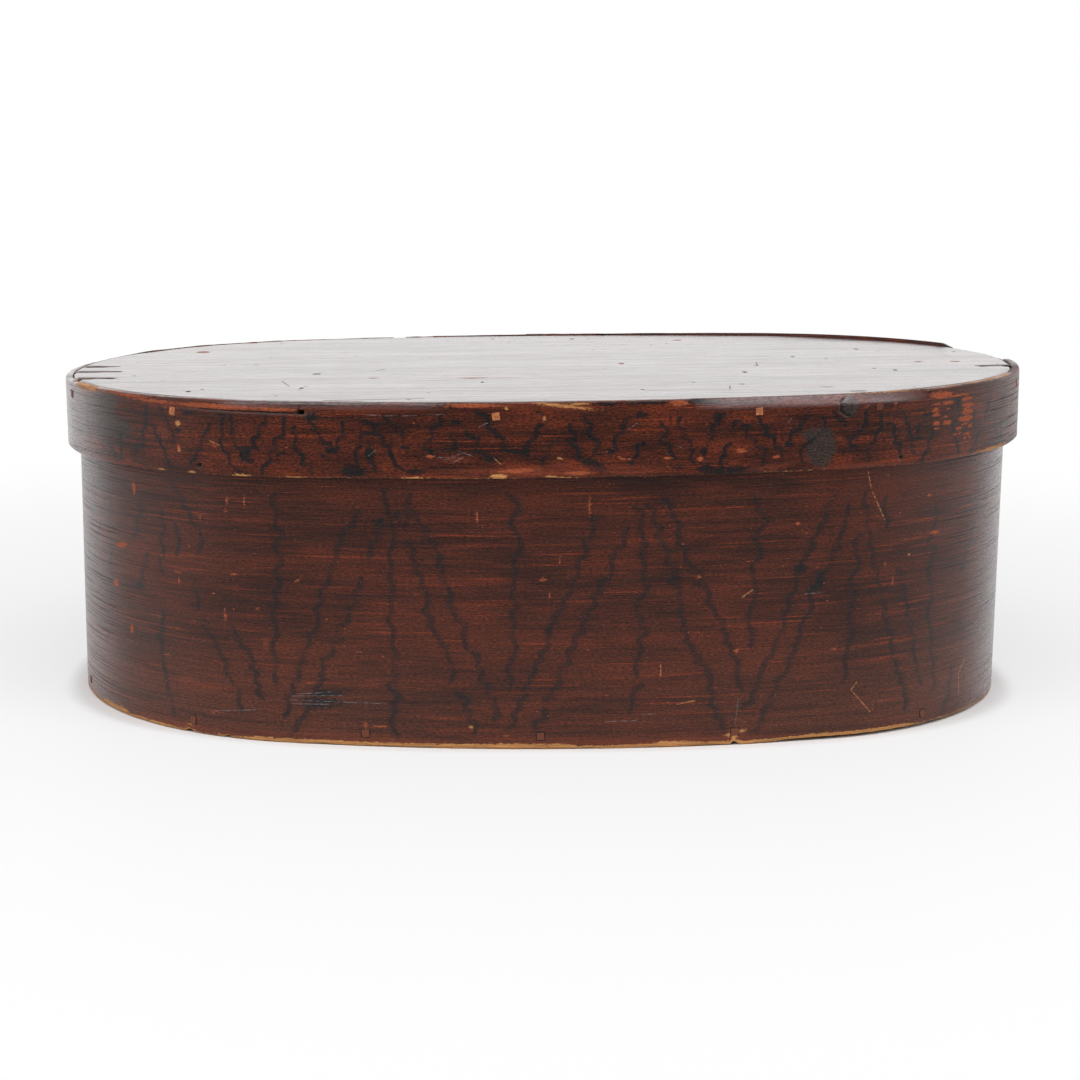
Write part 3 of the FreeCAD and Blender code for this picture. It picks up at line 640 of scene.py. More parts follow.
def build_strip(name, strip, shape, marks, materials, bare_below, place=lambda points: points):
    """Mesh of a strip. shape(u, z, inner) gives the height change and the lift at each place."""
    points, uvs, faces, slots = [], [], [], []
    layers = {}

    def add_grid(w, z, inner):
        grid_w, grid_z = np.broadcast_arrays(w, z)
        u = strip.u_of(grid_w)
        rise, lift = shape(u, grid_z, inner)
        base = strip.inner_lift(grid_w) if inner else strip.outer_lift(grid_w)
        start = sum(len(p) for p in points)
        grid = strip.point_grid(grid_w, grid_z + rise, base + lift)
        points.append(grid.reshape(-1, 3))
        uvs.append(np.stack([u, grid_z], -1).reshape(-1, 2))
        for key, values in marks(u, grid_z, inner).items():
            layers.setdefault(key, []).append(values.ravel())
        return start + np.arange(grid_w.size).reshape(grid_w.shape)

    def add_quads(a, slot, flip=False):
        q = np.stack([a[:-1, :-1], a[1:, :-1], a[1:, 1:], a[:-1, 1:]], -1).reshape(-1, 4)
        q = q[:, ::-1] if flip else q
        faces.extend(q.tolist())
        slots.extend([slot] * len(q))

    def add_wall(outer_line, inner_line, flip):
        add_quads(np.stack([outer_line, inner_line], 1), 0, flip)

    def add_cap(loop, flip, slot=0):
        faces.append(list(loop[::-1]) if flip else list(loop))
        slots.append(slot)

    def add_inner(a, heights):
        for row in range(a.shape[1] - 1):
            slot = 1 if heights[row] < bare_below - 0.01 else 0
            add_quads(a[:, row:row + 2], slot, True)

    columns = strip.columns[:, None]
    outer = add_grid(columns, strip.rows[None, :], False)
    inner = add_grid(columns, strip.inner_rows[None, :], True)
    add_quads(outer, 0)
    add_inner(inner, strip.inner_rows)
    add_wall(outer[:, 0], inner[:, 0], True)
    add_wall(outer[:, -1], inner[:, -1], False)
    add_cap(np.concatenate([outer[0], inner[0][::-1]]), True, 1)
    for low, high, is_finger in strip.zones:
        rows = rows_between(strip.rows, low, high)
        inner_rows = rows_between(strip.inner_rows, low, high)
        edge, inner_edge = outer[-1, rows], inner[-1, inner_rows]
        if is_finger:
            w = strip.finger_columns[1:, None]
            bottom, top = finger_sides(strip, w, low, high)
            share = (strip.rows[rows] - low) / (high - low)
            inner_share = (strip.inner_rows[inner_rows] - low) / (high - low)
            tongue = add_grid(w, bottom + (top - bottom) * share[None, :], False)
            under = add_grid(w, bottom + (top - bottom) * inner_share[None, :], True)
            tongue = np.vstack([edge[None, :], tongue])
            under = np.vstack([inner_edge[None, :], under])
            add_quads(tongue, 0)
            add_quads(under, 1, True)
            add_wall(tongue[:, 0], under[:, 0], True)
            add_wall(tongue[:, -1], under[:, -1], False)
            edge, inner_edge = tongue[-1], under[-1]
        add_cap(np.concatenate([edge, inner_edge[::-1]]), False)
    points = place(np.concatenate(points))
    layers = {key: np.concatenate(values) for key, values in layers.items()}
    return make_object(name, points, faces, materials, np.concatenate(uvs), slots, layers)


class Nodes:
    """A short way to write a material's node tree."""

    def __init__(self, name):
        self.material = bpy.data.materials.new(name)
        self.material.use_nodes = True
        self.tree = self.material.node_tree
        self.tree.nodes.clear()
        self.shader = self.new("ShaderNodeBsdfPrincipled")
        self.output = self.new("ShaderNodeOutputMaterial")
        self.join(self.shader.outputs[0], self.output.inputs[0])

    def new(self, kind, **settings):
        node = self.tree.nodes.new(kind)
        for key, value in settings.items():
            setattr(node, key, value)
        return node

    def join(self, source, socket):
        self.tree.links.new(source, socket)

    def feed(self, socket, value):
        if isinstance(value, bpy.types.NodeSocket):
            self.join(value, socket)
        elif value is not None:
            socket.default_value = value

    def math(self, operation, a, b=None):
        node = self.new("ShaderNodeMath", operation=operation)
        for socket, value in zip(node.inputs, (a, b)):
            self.feed(socket, value)
        return node.outputs[0]

    def add(self, a, b):
        return self.math("ADD", a, b)

    def sub(self, a, b):
        return self.math("SUBTRACT", a, b)

    def mul(self, a, b):
        return self.math("MULTIPLY", a, b)

    def most(self, first, *others):
        """The greatest of several values."""
        for other in others:
            first = self.math("MAXIMUM", first, other)
        return first

    def abs(self, a):
        return self.math("ABSOLUTE", a)

    def swing(self, value, size):
        """A noise taken as a swing about 0."""
        return self.mul(self.sub(value, 0.5), size)

    def ramp(self, value, low, high, to_low=0.0, to_high=1.0):
        """Value taken smoothly from one range to another."""
        node = self.new("ShaderNodeMapRange", interpolation_type="SMOOTHSTEP")
        for socket, entry in zip(node.inputs, (value, low, high, to_low, to_high)):
            self.feed(socket, entry)
        return node.outputs[0]

    def place(self, x, y=0.0, z=0.0):
        node = self.new("ShaderNodeCombineXYZ")
        for socket, value in zip(node.inputs, (x, y, z)):
            self.feed(socket, value)
        return node.outputs[0]

    def noise(self, where, detail, rough):
        node = self.new("ShaderNodeTexNoise")
        self.join(where, node.inputs["Vector"])
        node.inputs["Scale"].default_value = 1.0
        node.inputs["Detail"].default_value = detail
        node.inputs["Roughness"].default_value = rough
        return node.outputs[0]

    def grain(self, a, a_scale, b, b_scale, layer, detail, rough):
        """Noise stretched by its own scale along each of two directions."""
        return self.noise(self.place(self.mul(a, a_scale), self.mul(b, b_scale), layer), detail, rough)

    def cells(self, a, a_scale, b, b_scale, layer):
        """Distance to scattered dots, with a scale for each of two directions."""
        node = self.new("ShaderNodeTexVoronoi")
        self.join(self.place(self.mul(a, a_scale), self.mul(b, b_scale), layer), node.inputs["Vector"])
        node.inputs["Scale"].default_value = 1.0
        return node.outputs["Distance"]

    def mix(self, factor, a, b, blend="MIX"):
        node = self.new("ShaderNodeMix", data_type="RGBA", blend_type=blend)
        self.feed(node.inputs[0], factor)
        for socket, value in zip(node.inputs[6:8], (a, b)):
            self.feed(socket, (*value, 1.0) if isinstance(value, tuple) else value)
        return node.outputs[2]

    def surface_mm(self):
        """The piece's own surface map, in millimetres: along the band and up it."""
        split = self.new("ShaderNodeSeparateXYZ")
        self.join(self.new("ShaderNodeUVMap", uv_map="surface").outputs[0], split.inputs[0])
        return self.mul(split.outputs[0], 1000.0), self.mul(split.outputs[1], 1000.0)

    def object_mm(self):
        split = self.new("ShaderNodeSeparateXYZ")
        self.join(self.new("ShaderNodeTexCoord").outputs["Object"], split.inputs[0])
        return [self.mul(output, 1000.0) for output in split.outputs]

    def attribute(self, name):
        return self.new("ShaderNodeAttribute", attribute_name=name).outputs["Fac"]

    def bump(self, height, strength, distance_mm, under=None):
        node = self.new("ShaderNodeBump")
        node.inputs["Strength"].default_value = strength
        node.inputs["Distance"].default_value = distance_mm * MM
        self.join(height, node.inputs["Height"])
        if under is not None:
            self.join(under, node.inputs["Normal"])
        return node.outputs[0]

    def finish(self, colour, roughness, normal=None, coat=0.0, coat_roughness=0.1, specular=0.5):
        self.join(colour, self.shader.inputs["Base Color"])
        self.feed(self.shader.inputs["Roughness"], roughness)
        if coat is not None:
            self.shader.inputs["Coat Weight"].default_value = coat
        self.shader.inputs["Coat Roughness"].default_value = coat_roughness
        self.shader.inputs["Specular IOR Level"].default_value = specular
        self.shader.inputs["IOR"].default_value = 1.5
        if normal is not None:
            self.join(normal, self.shader.inputs["Normal"])
            self.join(normal, self.shader.inputs["Coat Normal"])
        return self.material


# Paint and wood colours, as linear light
DARK_BROWN = (0.027, 0.0078, 0.0052)
RED_BROWN = (0.076, 0.0160, 0.0072)
STREAK = (0.20, 0.032, 0.0095)
# Brush-line ink, also used as painted shade in the lid's split, knot crack and holes
INK_AND_CRACK_SHADE = (0.0070, 0.0080, 0.0095)
OLIVE = (0.032, 0.025, 0.021)
WORN_ORANGE = (0.30, 0.070, 0.026)
BARE_WOOD = (0.58, 0.27, 0.09)
PEELED = (0.20, 0.042, 0.019)
SCUFF = (0.20, 0.19, 0.20)
# A lighter brown for the lower body
LOWER_BROWN = (0.135, 0.041, 0.021)
# A grey painted sheen, for light reflected in the varnish
PAINTED_SHEEN = (0.15, 0.105, 0.115)
# Black, for painted shade in holes, cracks and the gaps round pegs
PAINTED_SHADE_BLACK = (0.003, 0.003, 0.003)
# Painted shade for the grooves of the raised grain
GROOVE_SHADE = (0.012, 0.005, 0.004)
GRIMY_WOOD = (0.16, 0.052, 0.025)
SCRATCHED = (0.50, 0.21, 0.085)
TOP_MARK = (0.012, 0.006, 0.006)
TOP_RUBBED = (0.30, 0.12, 0.075)
PEG_LIGHT, PEG_DARK, PEG_COAT = (0.48, 0.17, 0.065), (0.26, 0.08, 0.03), (0.12, 0.032, 0.016)
COPPER, PAINTED_COPPER = (0.30, 0.105, 0.05), (0.05, 0.02, 0.013)


def shade(colour, share):
    return tuple(c * share for c in colour)


def edge_mask(n, distance, rough, ragged, soft):
    """1 inside a mark, whose edge wanders by so many millimetres."""
    wander = n.swing(rough, ragged * 2)
    return n.ramp(n.add(distance, wander), soft, -soft)


def scratch_mask(n, u, v, ends, width):
    """A thin straight scratch between two places on the band."""
    (u0, v0), (u1, v1) = ends
    length = math.hypot(u1 - u0, v1 - v0)
    along_u, along_v = (u1 - u0) / length, (v1 - v0) / length
    du, dv = n.sub(u, u0), n.sub(v, v0)
    along = n.add(n.mul(du, along_u), n.mul(dv, along_v))
    aside = n.abs(n.sub(n.mul(du, along_v), n.mul(dv, along_u)))
    past_end = n.sub(n.abs(n.sub(along, length / 2)), length / 2)
    return n.ramp(n.most(aside, past_end), width, width * 0.4)


def scratches(n, u, v, lines, width):
    masks = [scratch_mask(n, u, v, ends, width) for ends in lines]
    total = masks[0]
    for mask in masks[1:]:
        total = n.most(total, mask)
    return total


def square_outlines(n, u, v, places, height):
    """Thin dark outlines round square pegs: painted shade in the gap round each one."""
    nearest = None
    up = n.abs(n.sub(v, height))
    for place in places:
        away = n.most(n.abs(n.sub(u, place)), up)
        nearest = away if nearest is None else n.math("MINIMUM", nearest, away)
    ring = n.abs(n.sub(nearest, PEG_WIDTH / 2 + 0.15))
    return n.ramp(ring, 0.55, 0.2)


def glossy_ends(n, u, right_share, left_share):
    """The far ends, where light from behind the box grazes the varnish: a thicker coat there, and a painted
    sheen in the colour.
    """
    right = n.ramp(u, 215.0, 267.0, 0.0, right_share)
    left = n.ramp(u, -225.0, -272.0, 0.0, left_share)
    return n.mul(n.most(right, left), n.ramp(n.abs(u), 400.0, 330.0))


def glossy_body(n, u, v):
    """The body has no rounded upper edge, so its height v makes no difference."""
    return glossy_ends(n, u, 0.85, 0.5)


def glossy_edges(n, u, v):
    """The rounded upper edge of the lid's band, where the varnish is thick: more coat there, and a painted
    sheen in the colour.
    """
    (bevel_from, bevel_to), (soft_from, soft_to) = LID_BEVEL, LID_SOFT_EDGE
    bevel = n.mul(n.ramp(u, bevel_from - 8, bevel_from + 16), n.ramp(u, bevel_to + 8, bevel_to - 24))
    soft = n.mul(n.ramp(u, soft_from - 10, soft_from + 10), n.ramp(u, soft_to + 10, soft_to - 10))
    bevel = n.mul(bevel, n.ramp(v, 6.6, 8.8))
    edges = n.most(bevel, n.mul(soft, n.ramp(v, 9.0, 10.6, 0.0, 0.8)))
    return n.most(edges, glossy_ends(n, u, 0.15, 0.9))


def grain_paint(name, seed, streak_strength, ink_strength, line_width, grit_strength, patch_strength,
                specular, scratch_lines, scuff_lines, peg_places=(), split_lines=(), glossy=glossy_body,
                lower_lightening=0.0):
    """Worn grain painting: thin red streaks over dark brown, brush lines, blots, wear and scratches, with
    painted shade in grooves, gaps, cracks and holes, and a painted sheen where the varnish catches light.
    """
    n = Nodes(name)
    u, v = n.surface_mm()
    broad = n.grain(u, 0.009, v, 0.03, seed, 3.0, 0.5)
    patches = n.grain(u, 0.034, v, 0.14, seed + 10.0, 2.0, 0.5)
    bands = n.grain(u, 0.012, v, 0.34, seed + 1.0, 5.0, 0.7)
    fine = n.grain(u, 0.05, v, 2.2, seed + 2.0, 3.0, 0.7)
    grit = n.grain(u, 0.55, v, 1.5, seed + 11.0, 4.0, 0.8)
    ragged = n.grain(u, 0.40, v, 0.95, seed + 3.0, 5.0, 0.75)
    cloud = n.grain(u, 0.07, v, 0.09, seed + 4.0, 3.0, 0.6)
    tone = n.add(broad, n.swing(bands, 0.75))
    tone = n.add(tone, n.swing(fine, 0.65))
    tone = n.add(tone, n.swing(patches, patch_strength))
    colour = n.mix(n.ramp(tone, 0.27, 0.68), DARK_BROWN, RED_BROWN)
    # Thin long streaks where the brush left the red coat bare
    long_streaks = n.grain(u, 0.014, v, 0.62, seed + 5.0, 2.0, 0.6)
    broken = n.grain(u, 0.02, v, 0.07, seed + 6.0, 2.0, 0.5)
    streak = n.mul(n.ramp(long_streaks, 0.55, 0.70), n.ramp(broken, 0.40, 0.60, 0.15, 1.0))
    streak = n.most(streak, n.mul(n.ramp(bands, 0.56, 0.80), 0.55))
    streak = n.most(streak, n.mul(n.ramp(patches, 0.52, 0.72), patch_strength * 0.5))
    colour = n.mix(n.mul(streak, streak_strength), colour, STREAK)
    colour = n.mix(n.mul(n.ramp(fine, 0.47, 0.30), 0.6), colour, DARK_BROWN)
    # Lighter brown in broken patches towards the bottom of the body, more so away from the middle of the front
    if lower_lightening:
        low = n.mul(n.ramp(v, 75.0, 5.0), n.ramp(n.abs(u), 10.0, 130.0, 0.35, 1.0))
        low = n.mul(low, n.ramp(n.add(bands, n.swing(fine, 0.5)), 0.30, 0.60, 0.35, 1.0))
        colour = n.mix(n.mul(low, lower_lightening), colour, LOWER_BROWN)
    # Brush lines and blots; the lid's split, knot crack and holes come in with the blots, as painted shade
    distance = n.attribute("brush")
    wander = n.add(n.swing(ragged, 1.5), n.mul(n.sub(0.5, cloud), 1.0))
    inside = n.ramp(n.add(distance, wander), line_width, line_width * 0.5)
    strength = n.ramp(cloud, 0.30, 0.58, 0.5, 1.0)
    ink = n.mul(n.mul(inside, strength), ink_strength)
    smudge = n.mul(n.ramp(n.add(distance, n.swing(ragged, 3.0)), 3.6, 0.5), n.mul(strength, 0.18))
    blot_and_hole_distance = n.attribute("blot")
    blot = n.mul(edge_mask(n, blot_and_hole_distance, ragged, 3.6, 0.45), 0.9)
    colour = n.mix(n.mul(edge_mask(n, n.attribute("olive"), ragged, 4.5, 1.2), 0.88), colour, OLIVE)
    colour = n.mix(n.most(ink, smudge, blot), colour, INK_AND_CRACK_SHADE)
    # Fine grit in the old varnish
    grit_level = n.ramp(grit, 0.30, 0.70, 1.0 - grit_strength, 1.0 + grit_strength)
    colour = n.mix(1.0, colour, grit_level, "MULTIPLY")
    # Raised grain, with painted shade darkening the grooves between its ridges, stronger round the ends
    ends = n.ramp(n.abs(u), 150.0, 262.0, 0.12, 1.0)
    ridges = n.grain(u, 0.013, v, 1.2, seed + 9.0, 3.0, 0.6)
    groove = n.mul(n.ramp(ridges, 0.47, 0.36), ends)
    colour = n.mix(n.mul(groove, 0.5), colour, GROOVE_SHADE)
    # Wear
    patchy = n.mul(n.ramp(ragged, 0.40, 0.60), n.ramp(bands, 0.38, 0.60, 0.35, 1.0))
    peel = n.mul(edge_mask(n, n.attribute("peel"), ragged, 5.0, 0.8), n.add(n.mul(patchy, 0.75), 0.12))
    colour = n.mix(peel, colour, PEELED)
    flake = n.mul(edge_mask(n, n.attribute("flake"), ragged, 1.7, 0.2), n.ramp(fine, 0.36, 0.46, 0.35, 1.0))
    dark_worn, light_worn = shade(WORN_ORANGE, 0.62), shade(WORN_ORANGE, 1.4)
    worn_tone = n.mix(n.ramp(grit, 0.35, 0.65), dark_worn, light_worn)
    colour = n.mix(n.mul(flake, 0.94), colour, worn_tone)
    specks = n.cells(u, 0.10, v, 0.13, seed + 7.0)
    speck = n.ramp(n.add(specks, n.swing(ragged, 0.16)), 0.060, 0.035)
    colour = n.mix(n.mul(speck, 0.75), colour, WORN_ORANGE)
    dust = n.cells(u, 0.22, v, 0.24, seed + 8.0)
    colour = n.mix(n.mul(n.ramp(dust, 0.075, 0.045), 0.35), colour, SCUFF)
    bare = edge_mask(n, n.attribute("bare"), ragged, 2.0, 0.22)
    wood = n.mix(n.ramp(fine, 0.35, 0.65), BARE_WOOD, shade(BARE_WOOD, 0.5))
    wood = n.mix(n.mul(n.ramp(grit, 0.50, 0.66), 0.55), wood, GRIMY_WOOD)
    wood = n.mix(n.ramp(ragged, 0.62, 0.74, 0.0, 0.8), wood, RED_BROWN)
    colour = n.mix(bare, colour, wood)
    lines = scratches(n, u, v, scratch_lines, 0.42)
    colour = n.mix(n.mul(lines, n.ramp(ragged, 0.42, 0.56, 0.05, 0.75)), colour, SCRATCHED)
    scuffs = scratches(n, u, v, scuff_lines, 0.3)
    colour = n.mix(n.mul(scuffs, n.ramp(ragged, 0.44, 0.60, 0.05, 0.7)), colour, SCUFF)
    # Painted shade in the gaps round the body's pegs
    if peg_places:
        outline = square_outlines(n, u, v, peg_places, BOTTOM_PEG_HEIGHT)
        colour = n.mix(n.mul(outline, n.ramp(ragged, 0.35, 0.55, 0.35, 0.9)), colour, PAINTED_SHADE_BLACK)
    # Holes and the lid's split painted black: painted shade in the recesses
    hole = n.ramp(blot_and_hole_distance, -2.0, -3.4)
    if split_lines:
        split = n.mul(scratches(n, u, v, split_lines, 0.48), n.ramp(ragged, 0.38, 0.56, 0.25, 1.0))
        hole = n.most(hole, split)
    # Painted sheen: where the varnish catches light, at the far ends and the lid's rounded edge, the colour is
    # greyed towards a reflection; the same mask gives the thicker coat
    gloss = n.mul(glossy(n, u, v), n.ramp(ragged, 0.40, 0.62, 1.0, 0.4))
    colour = n.mix(n.mul(gloss, 0.35), colour, PAINTED_SHEEN)
    colour = n.mix(hole, colour, PAINTED_SHADE_BLACK)
    normal = n.bump(n.mul(ridges, ends), 0.9, 1.0)
    normal = n.bump(n.add(fine, n.mul(grit, 0.6)), 0.3, 0.2, normal)
    dull = n.most(n.mul(n.most(bare, flake), 0.35), n.mul(hole, 0.6))
    roughness = n.add(n.ramp(fine, 0.3, 0.7, 0.25, 0.38), n.most(dull, n.mul(groove, 0.4)))
    n.join(n.mul(gloss, n.sub(1.0, n.most(bare, hole))), n.shader.inputs["Coat Weight"])
    return n.finish(colour, roughness, normal, coat=None, coat_roughness=0.16, specular=specular)


def bare_wood(name, light, dark, on_band=False):
    """Old unpainted pine, darker along its grain, which runs along the band or the board."""
    n = Nodes(name)
    if on_band:
        length, across = n.surface_mm()
        deep = 0.0
    else:
        length, across, deep = n.object_mm()
    grain = n.noise(n.place(n.mul(length, 0.006), n.mul(across, 0.16), n.mul(deep, 0.16)), 4.0, 0.6)
    fine = n.noise(n.place(n.mul(length, 0.04), n.mul(across, 1.1), n.mul(deep, 1.1)), 3.0, 0.6)
    stains = n.noise(n.place(n.mul(length, 0.012), n.mul(across, 0.012), n.mul(deep, 0.012)), 3.0, 0.5)
    colour = n.mix(n.ramp(grain, 0.38, 0.64), light, dark)
    colour = n.mix(n.mul(n.ramp(fine, 0.55, 0.75), 0.6), colour, shade(dark, 0.6))
    colour = n.mix(n.mul(n.ramp(stains, 0.5, 0.75), 0.45), colour, shade(dark, 0.5))
    normal = n.bump(fine, 0.35, 0.3, n.bump(grain, 0.3, 0.6))
    return n.finish(colour, n.ramp(fine, 0.3, 0.7, 0.6, 0.78), normal, specular=0.35)


# Marks on the lid's top as (x, y, half length, half width), and lines from one end to the other
TOP_DARK_SPOTS = (
    (-121, -36, 2.0, 2.6), (-180, -104, 1.2, 3.0), (-174, -96, 0.9, 1.6), (-125.5, -97, 0.9, 3.0),
    (-36, -80, 0.8, 2.4), (-87, -20, 1.4, 1.4), (101, -50, 1.2, 3.2), (180, -49, 1.0, 2.8),
    (171, -40, 0.9, 1.4), (131, -118, 4.0, 0.9), (143, -135, 4.0, 1.2), (138, 20, 1.1, 2.0),
    (92, -102, 1.2, 1.2), (41, -118, 0.9, 1.4), (181, 58, 1.0, 2.6), (24, 135, 1.2, 2.4),
)
TOP_RUBBED_SPOTS = (
    (-40, -62, 7.0, 2.2), (-24, -63, 8.0, 0.9), (-167, 131, 3.4, 3.0), (-91, -57, 2.4, 1.6),
    (221, -11, 2.4, 2.4), (86, 120, 2.4, 3.0), (41, -3, 1.4, 3.4), (201, -10, 2.2, 2.2),
    (-191, 82, 3.4, 5.0),
)
TOP_FAINT_CRACKS = (((-112, -146.5), (-66, -143)),)
TOP_CRACKS = (
    ((-248, 11), (-230, 11)), ((-249, -14), (-226, -14)), ((-246, -42), (-225, -47)),
    ((247, -31), (229, -37)),
)
TOP_SCRATCHES = (
    ((-137, -65), (-132, -88)), ((114, -5), (112, -22)), ((85, -108), (83, -122)),
    ((42, -122), (84, -122)),
)


def spot_mask(n, where, rough, spots):
    """1 inside a set of oval spots with uneven edges."""
    nearest = None
    for x, y, half_x, half_y in spots:
        scaled = n.new("ShaderNodeVectorMath", operation="MULTIPLY_ADD")
        n.join(where, scaled.inputs[0])
        scaled.inputs[1].default_value = (1 / half_x, 1 / half_y, 0.0)
        scaled.inputs[2].default_value = (-x / half_x, -y / half_y, 0.0)
        away = n.new("ShaderNodeVectorMath", operation="LENGTH")
        n.join(scaled.outputs[0], away.inputs[0])
        distance = away.outputs["Value"]
        nearest = distance if nearest is None else n.math("MINIMUM", nearest, distance)
    return n.ramp(n.add(nearest, n.swing(rough, 1.6)), 1.3, 0.8)


def lid_top_varnish():
    """Dark glossy varnish on a wide board, with fine grain along it, dull marks, rubbed places, and cracks
    painted black as shade.
    """
    n = Nodes("lid_top_varnish")
    x, y = n.object_mm()[:2]
    streaks = n.grain(x, 0.006, y, 0.12, 0.0, 4.0, 0.65)
    fine = n.grain(x, 0.03, y, 0.8, 4.0, 3.0, 0.65)
    colour = n.mix(n.ramp(streaks, 0.4, 0.65), DARK_BROWN, RED_BROWN)
    colour = n.mix(n.mul(n.ramp(fine, 0.55, 0.75), 0.4), colour, STREAK)
    where = n.place(x, y, 0.0)
    rough_edge = n.grain(x, 0.35, y, 0.35, 3.0, 3.0, 0.7)
    dashes = n.grain(x, 0.055, y, 0.42, 9.0, 3.0, 0.7)
    sparse = n.grain(x, 0.012, y, 0.02, 12.0, 2.0, 0.5)
    fleck = n.mul(n.ramp(n.add(dashes, n.swing(sparse, 0.25)), 0.72, 0.78), 0.6)
    specks = n.cells(x, 0.035, y, 0.045, 2.0)
    speck = n.mul(n.ramp(n.add(specks, n.swing(rough_edge, 0.12)), 0.050, 0.028), 0.7)
    tiny = n.cells(x, 0.060, y, 0.022, 5.0)
    tiny = n.ramp(n.add(tiny, n.swing(rough_edge, 0.09)), 0.080, 0.035)
    tiny = n.mul(tiny, n.ramp(sparse, 0.42, 0.56, 0.1, 0.7))
    spots = n.most(tiny, spot_mask(n, where, rough_edge, TOP_DARK_SPOTS))
    lines = n.mul(scratches(n, x, y, TOP_SCRATCHES, 0.6), 0.45)
    lines = n.most(lines, n.mul(scratches(n, x, y, TOP_FAINT_CRACKS, 1.1), 0.6))
    spots = n.mul(spots, n.ramp(rough_edge, 0.3, 0.7, 1.0, 0.6))
    dull = n.most(n.most(fleck, speck), n.most(spots, lines))
    colour = n.mix(n.mul(dull, 0.9), colour, TOP_MARK)
    rub = spot_mask(n, where, rough_edge, TOP_RUBBED_SPOTS)
    colour = n.mix(n.mul(rub, 0.8), colour, TOP_RUBBED)
    # The end checks painted black: painted shade in the cracks
    crack = scratches(n, x, y, TOP_CRACKS, 2.0)
    colour = n.mix(crack, colour, PAINTED_SHADE_BLACK)
    dull = n.most(dull, crack)
    normal = n.bump(n.sub(n.mul(streaks, 0.5), dull), 0.30, 0.3)
    normal = n.bump(fine, 0.12, 0.12, normal)
    roughness = n.add(n.ramp(fine, 0.3, 0.7, 0.24, 0.34), n.mul(n.most(dull, rub), 0.55))
    gloss = n.sub(1.0, n.mul(n.most(dull, n.mul(rub, 0.8)), 0.95))
    thin = n.grain(x, 0.012, y, 0.35, 31.0, 4.0, 0.75)
    scratchy = n.grain(x, 0.07, y, 0.55, 33.0, 4.0, 0.8)
    gloss = n.mul(gloss, n.ramp(streaks, 0.3, 0.7, 0.62, 0.72))
    gloss = n.mul(gloss, n.mul(n.ramp(thin, 0.35, 0.65, 0.82, 1.15), n.ramp(scratchy, 0.52, 0.68, 1.0, 0.5)))
    n.join(gloss, n.shader.inputs["Coat Weight"])
    return n.finish(colour, roughness, normal, coat=None, coat_roughness=0.18, specular=0.11)


def peg_wood():
    """Bare peg ends, and ends that were painted over with the band."""
    n = Nodes("peg_wood")
    x, y, z = n.object_mm()
    grain = n.noise(n.place(n.mul(x, 0.9), n.mul(y, 0.9), n.mul(z, 0.9)), 3.0, 0.6)
    bare = n.mix(n.ramp(grain, 0.35, 0.65), PEG_LIGHT, PEG_DARK)
    coat = n.mix(n.ramp(grain, 0.35, 0.65), RED_BROWN, PEG_COAT)
    colour = n.mix(n.attribute("painted"), bare, coat)
    return n.finish(colour, n.ramp(grain, 0.3, 0.7, 0.45, 0.65), n.bump(grain, 0.4, 0.2), specular=0.3)


def tack_copper():
    n = Nodes("tack_copper")
    x, y, z = n.object_mm()
    cloud = n.noise(n.place(n.mul(x, 0.5), n.mul(y, 0.5), n.mul(z, 0.5)), 3.0, 0.6)
    painted = n.ramp(cloud, 0.42, 0.55)
    colour = n.mix(painted, COPPER, PAINTED_COPPER)
    n.join(n.ramp(cloud, 0.42, 0.55, 0.85, 0.0), n.shader.inputs["Metallic"])
    return n.finish(colour, n.ramp(cloud, 0.3, 0.7, 0.38, 0.6), n.bump(cloud, 0.3, 0.2))


def body_shape(u, z, inner):
    """The body band's slanted rim, its worn and nicked lower edge, and slight hand-made waves."""
    rim = RIM_HEIGHT + oval_at(BODY_OFFSET, u)[0] * math.tan(LID_TILT)
    to_rim = z / RIM_HEIGHT * (rim - RIM_HEIGHT)
    edge_noise = wobble_along(u[:, :1], 0.05, 3.1) + 0.5 * wobble_along(u[:, :1], 0.21, 7.7)
    cut_away = np.maximum(0.3 + 0.3 * edge_noise, 0.0)
    for place, depth in BODY_NOTCHES:
        cut_away = cut_away + depth * bump_between(place - 0.7, place + 0.7, 1.4, u[:, :1])
    cut_away = cut_away + WORN_FOOT_DEPTH * bump_between(*WORN_FOOT, 30.0, u[:, :1])
    rise = to_rim + np.clip(1 - z / 8.0, 0, 1) * cut_away
    if inner:
        return rise, 0 * u
    radius = 0.9 + 0.5 * edge_noise
    low = np.clip(1 - z / radius, 0, 1)
    top = np.clip(1 - (RIM_HEIGHT - z) / 0.9, 0, 1)
    lift = -radius * (1 - np.sqrt(1 - low ** 2)) - 0.9 * (1 - np.sqrt(1 - top ** 2))
    lift = lift + 0.22 * wobble(u * 0.012, z * 0.012, 1.5) + 0.06 * wobble(u * 0.02, z * 0.35, 4.0)
    return rise, lift - 0.22


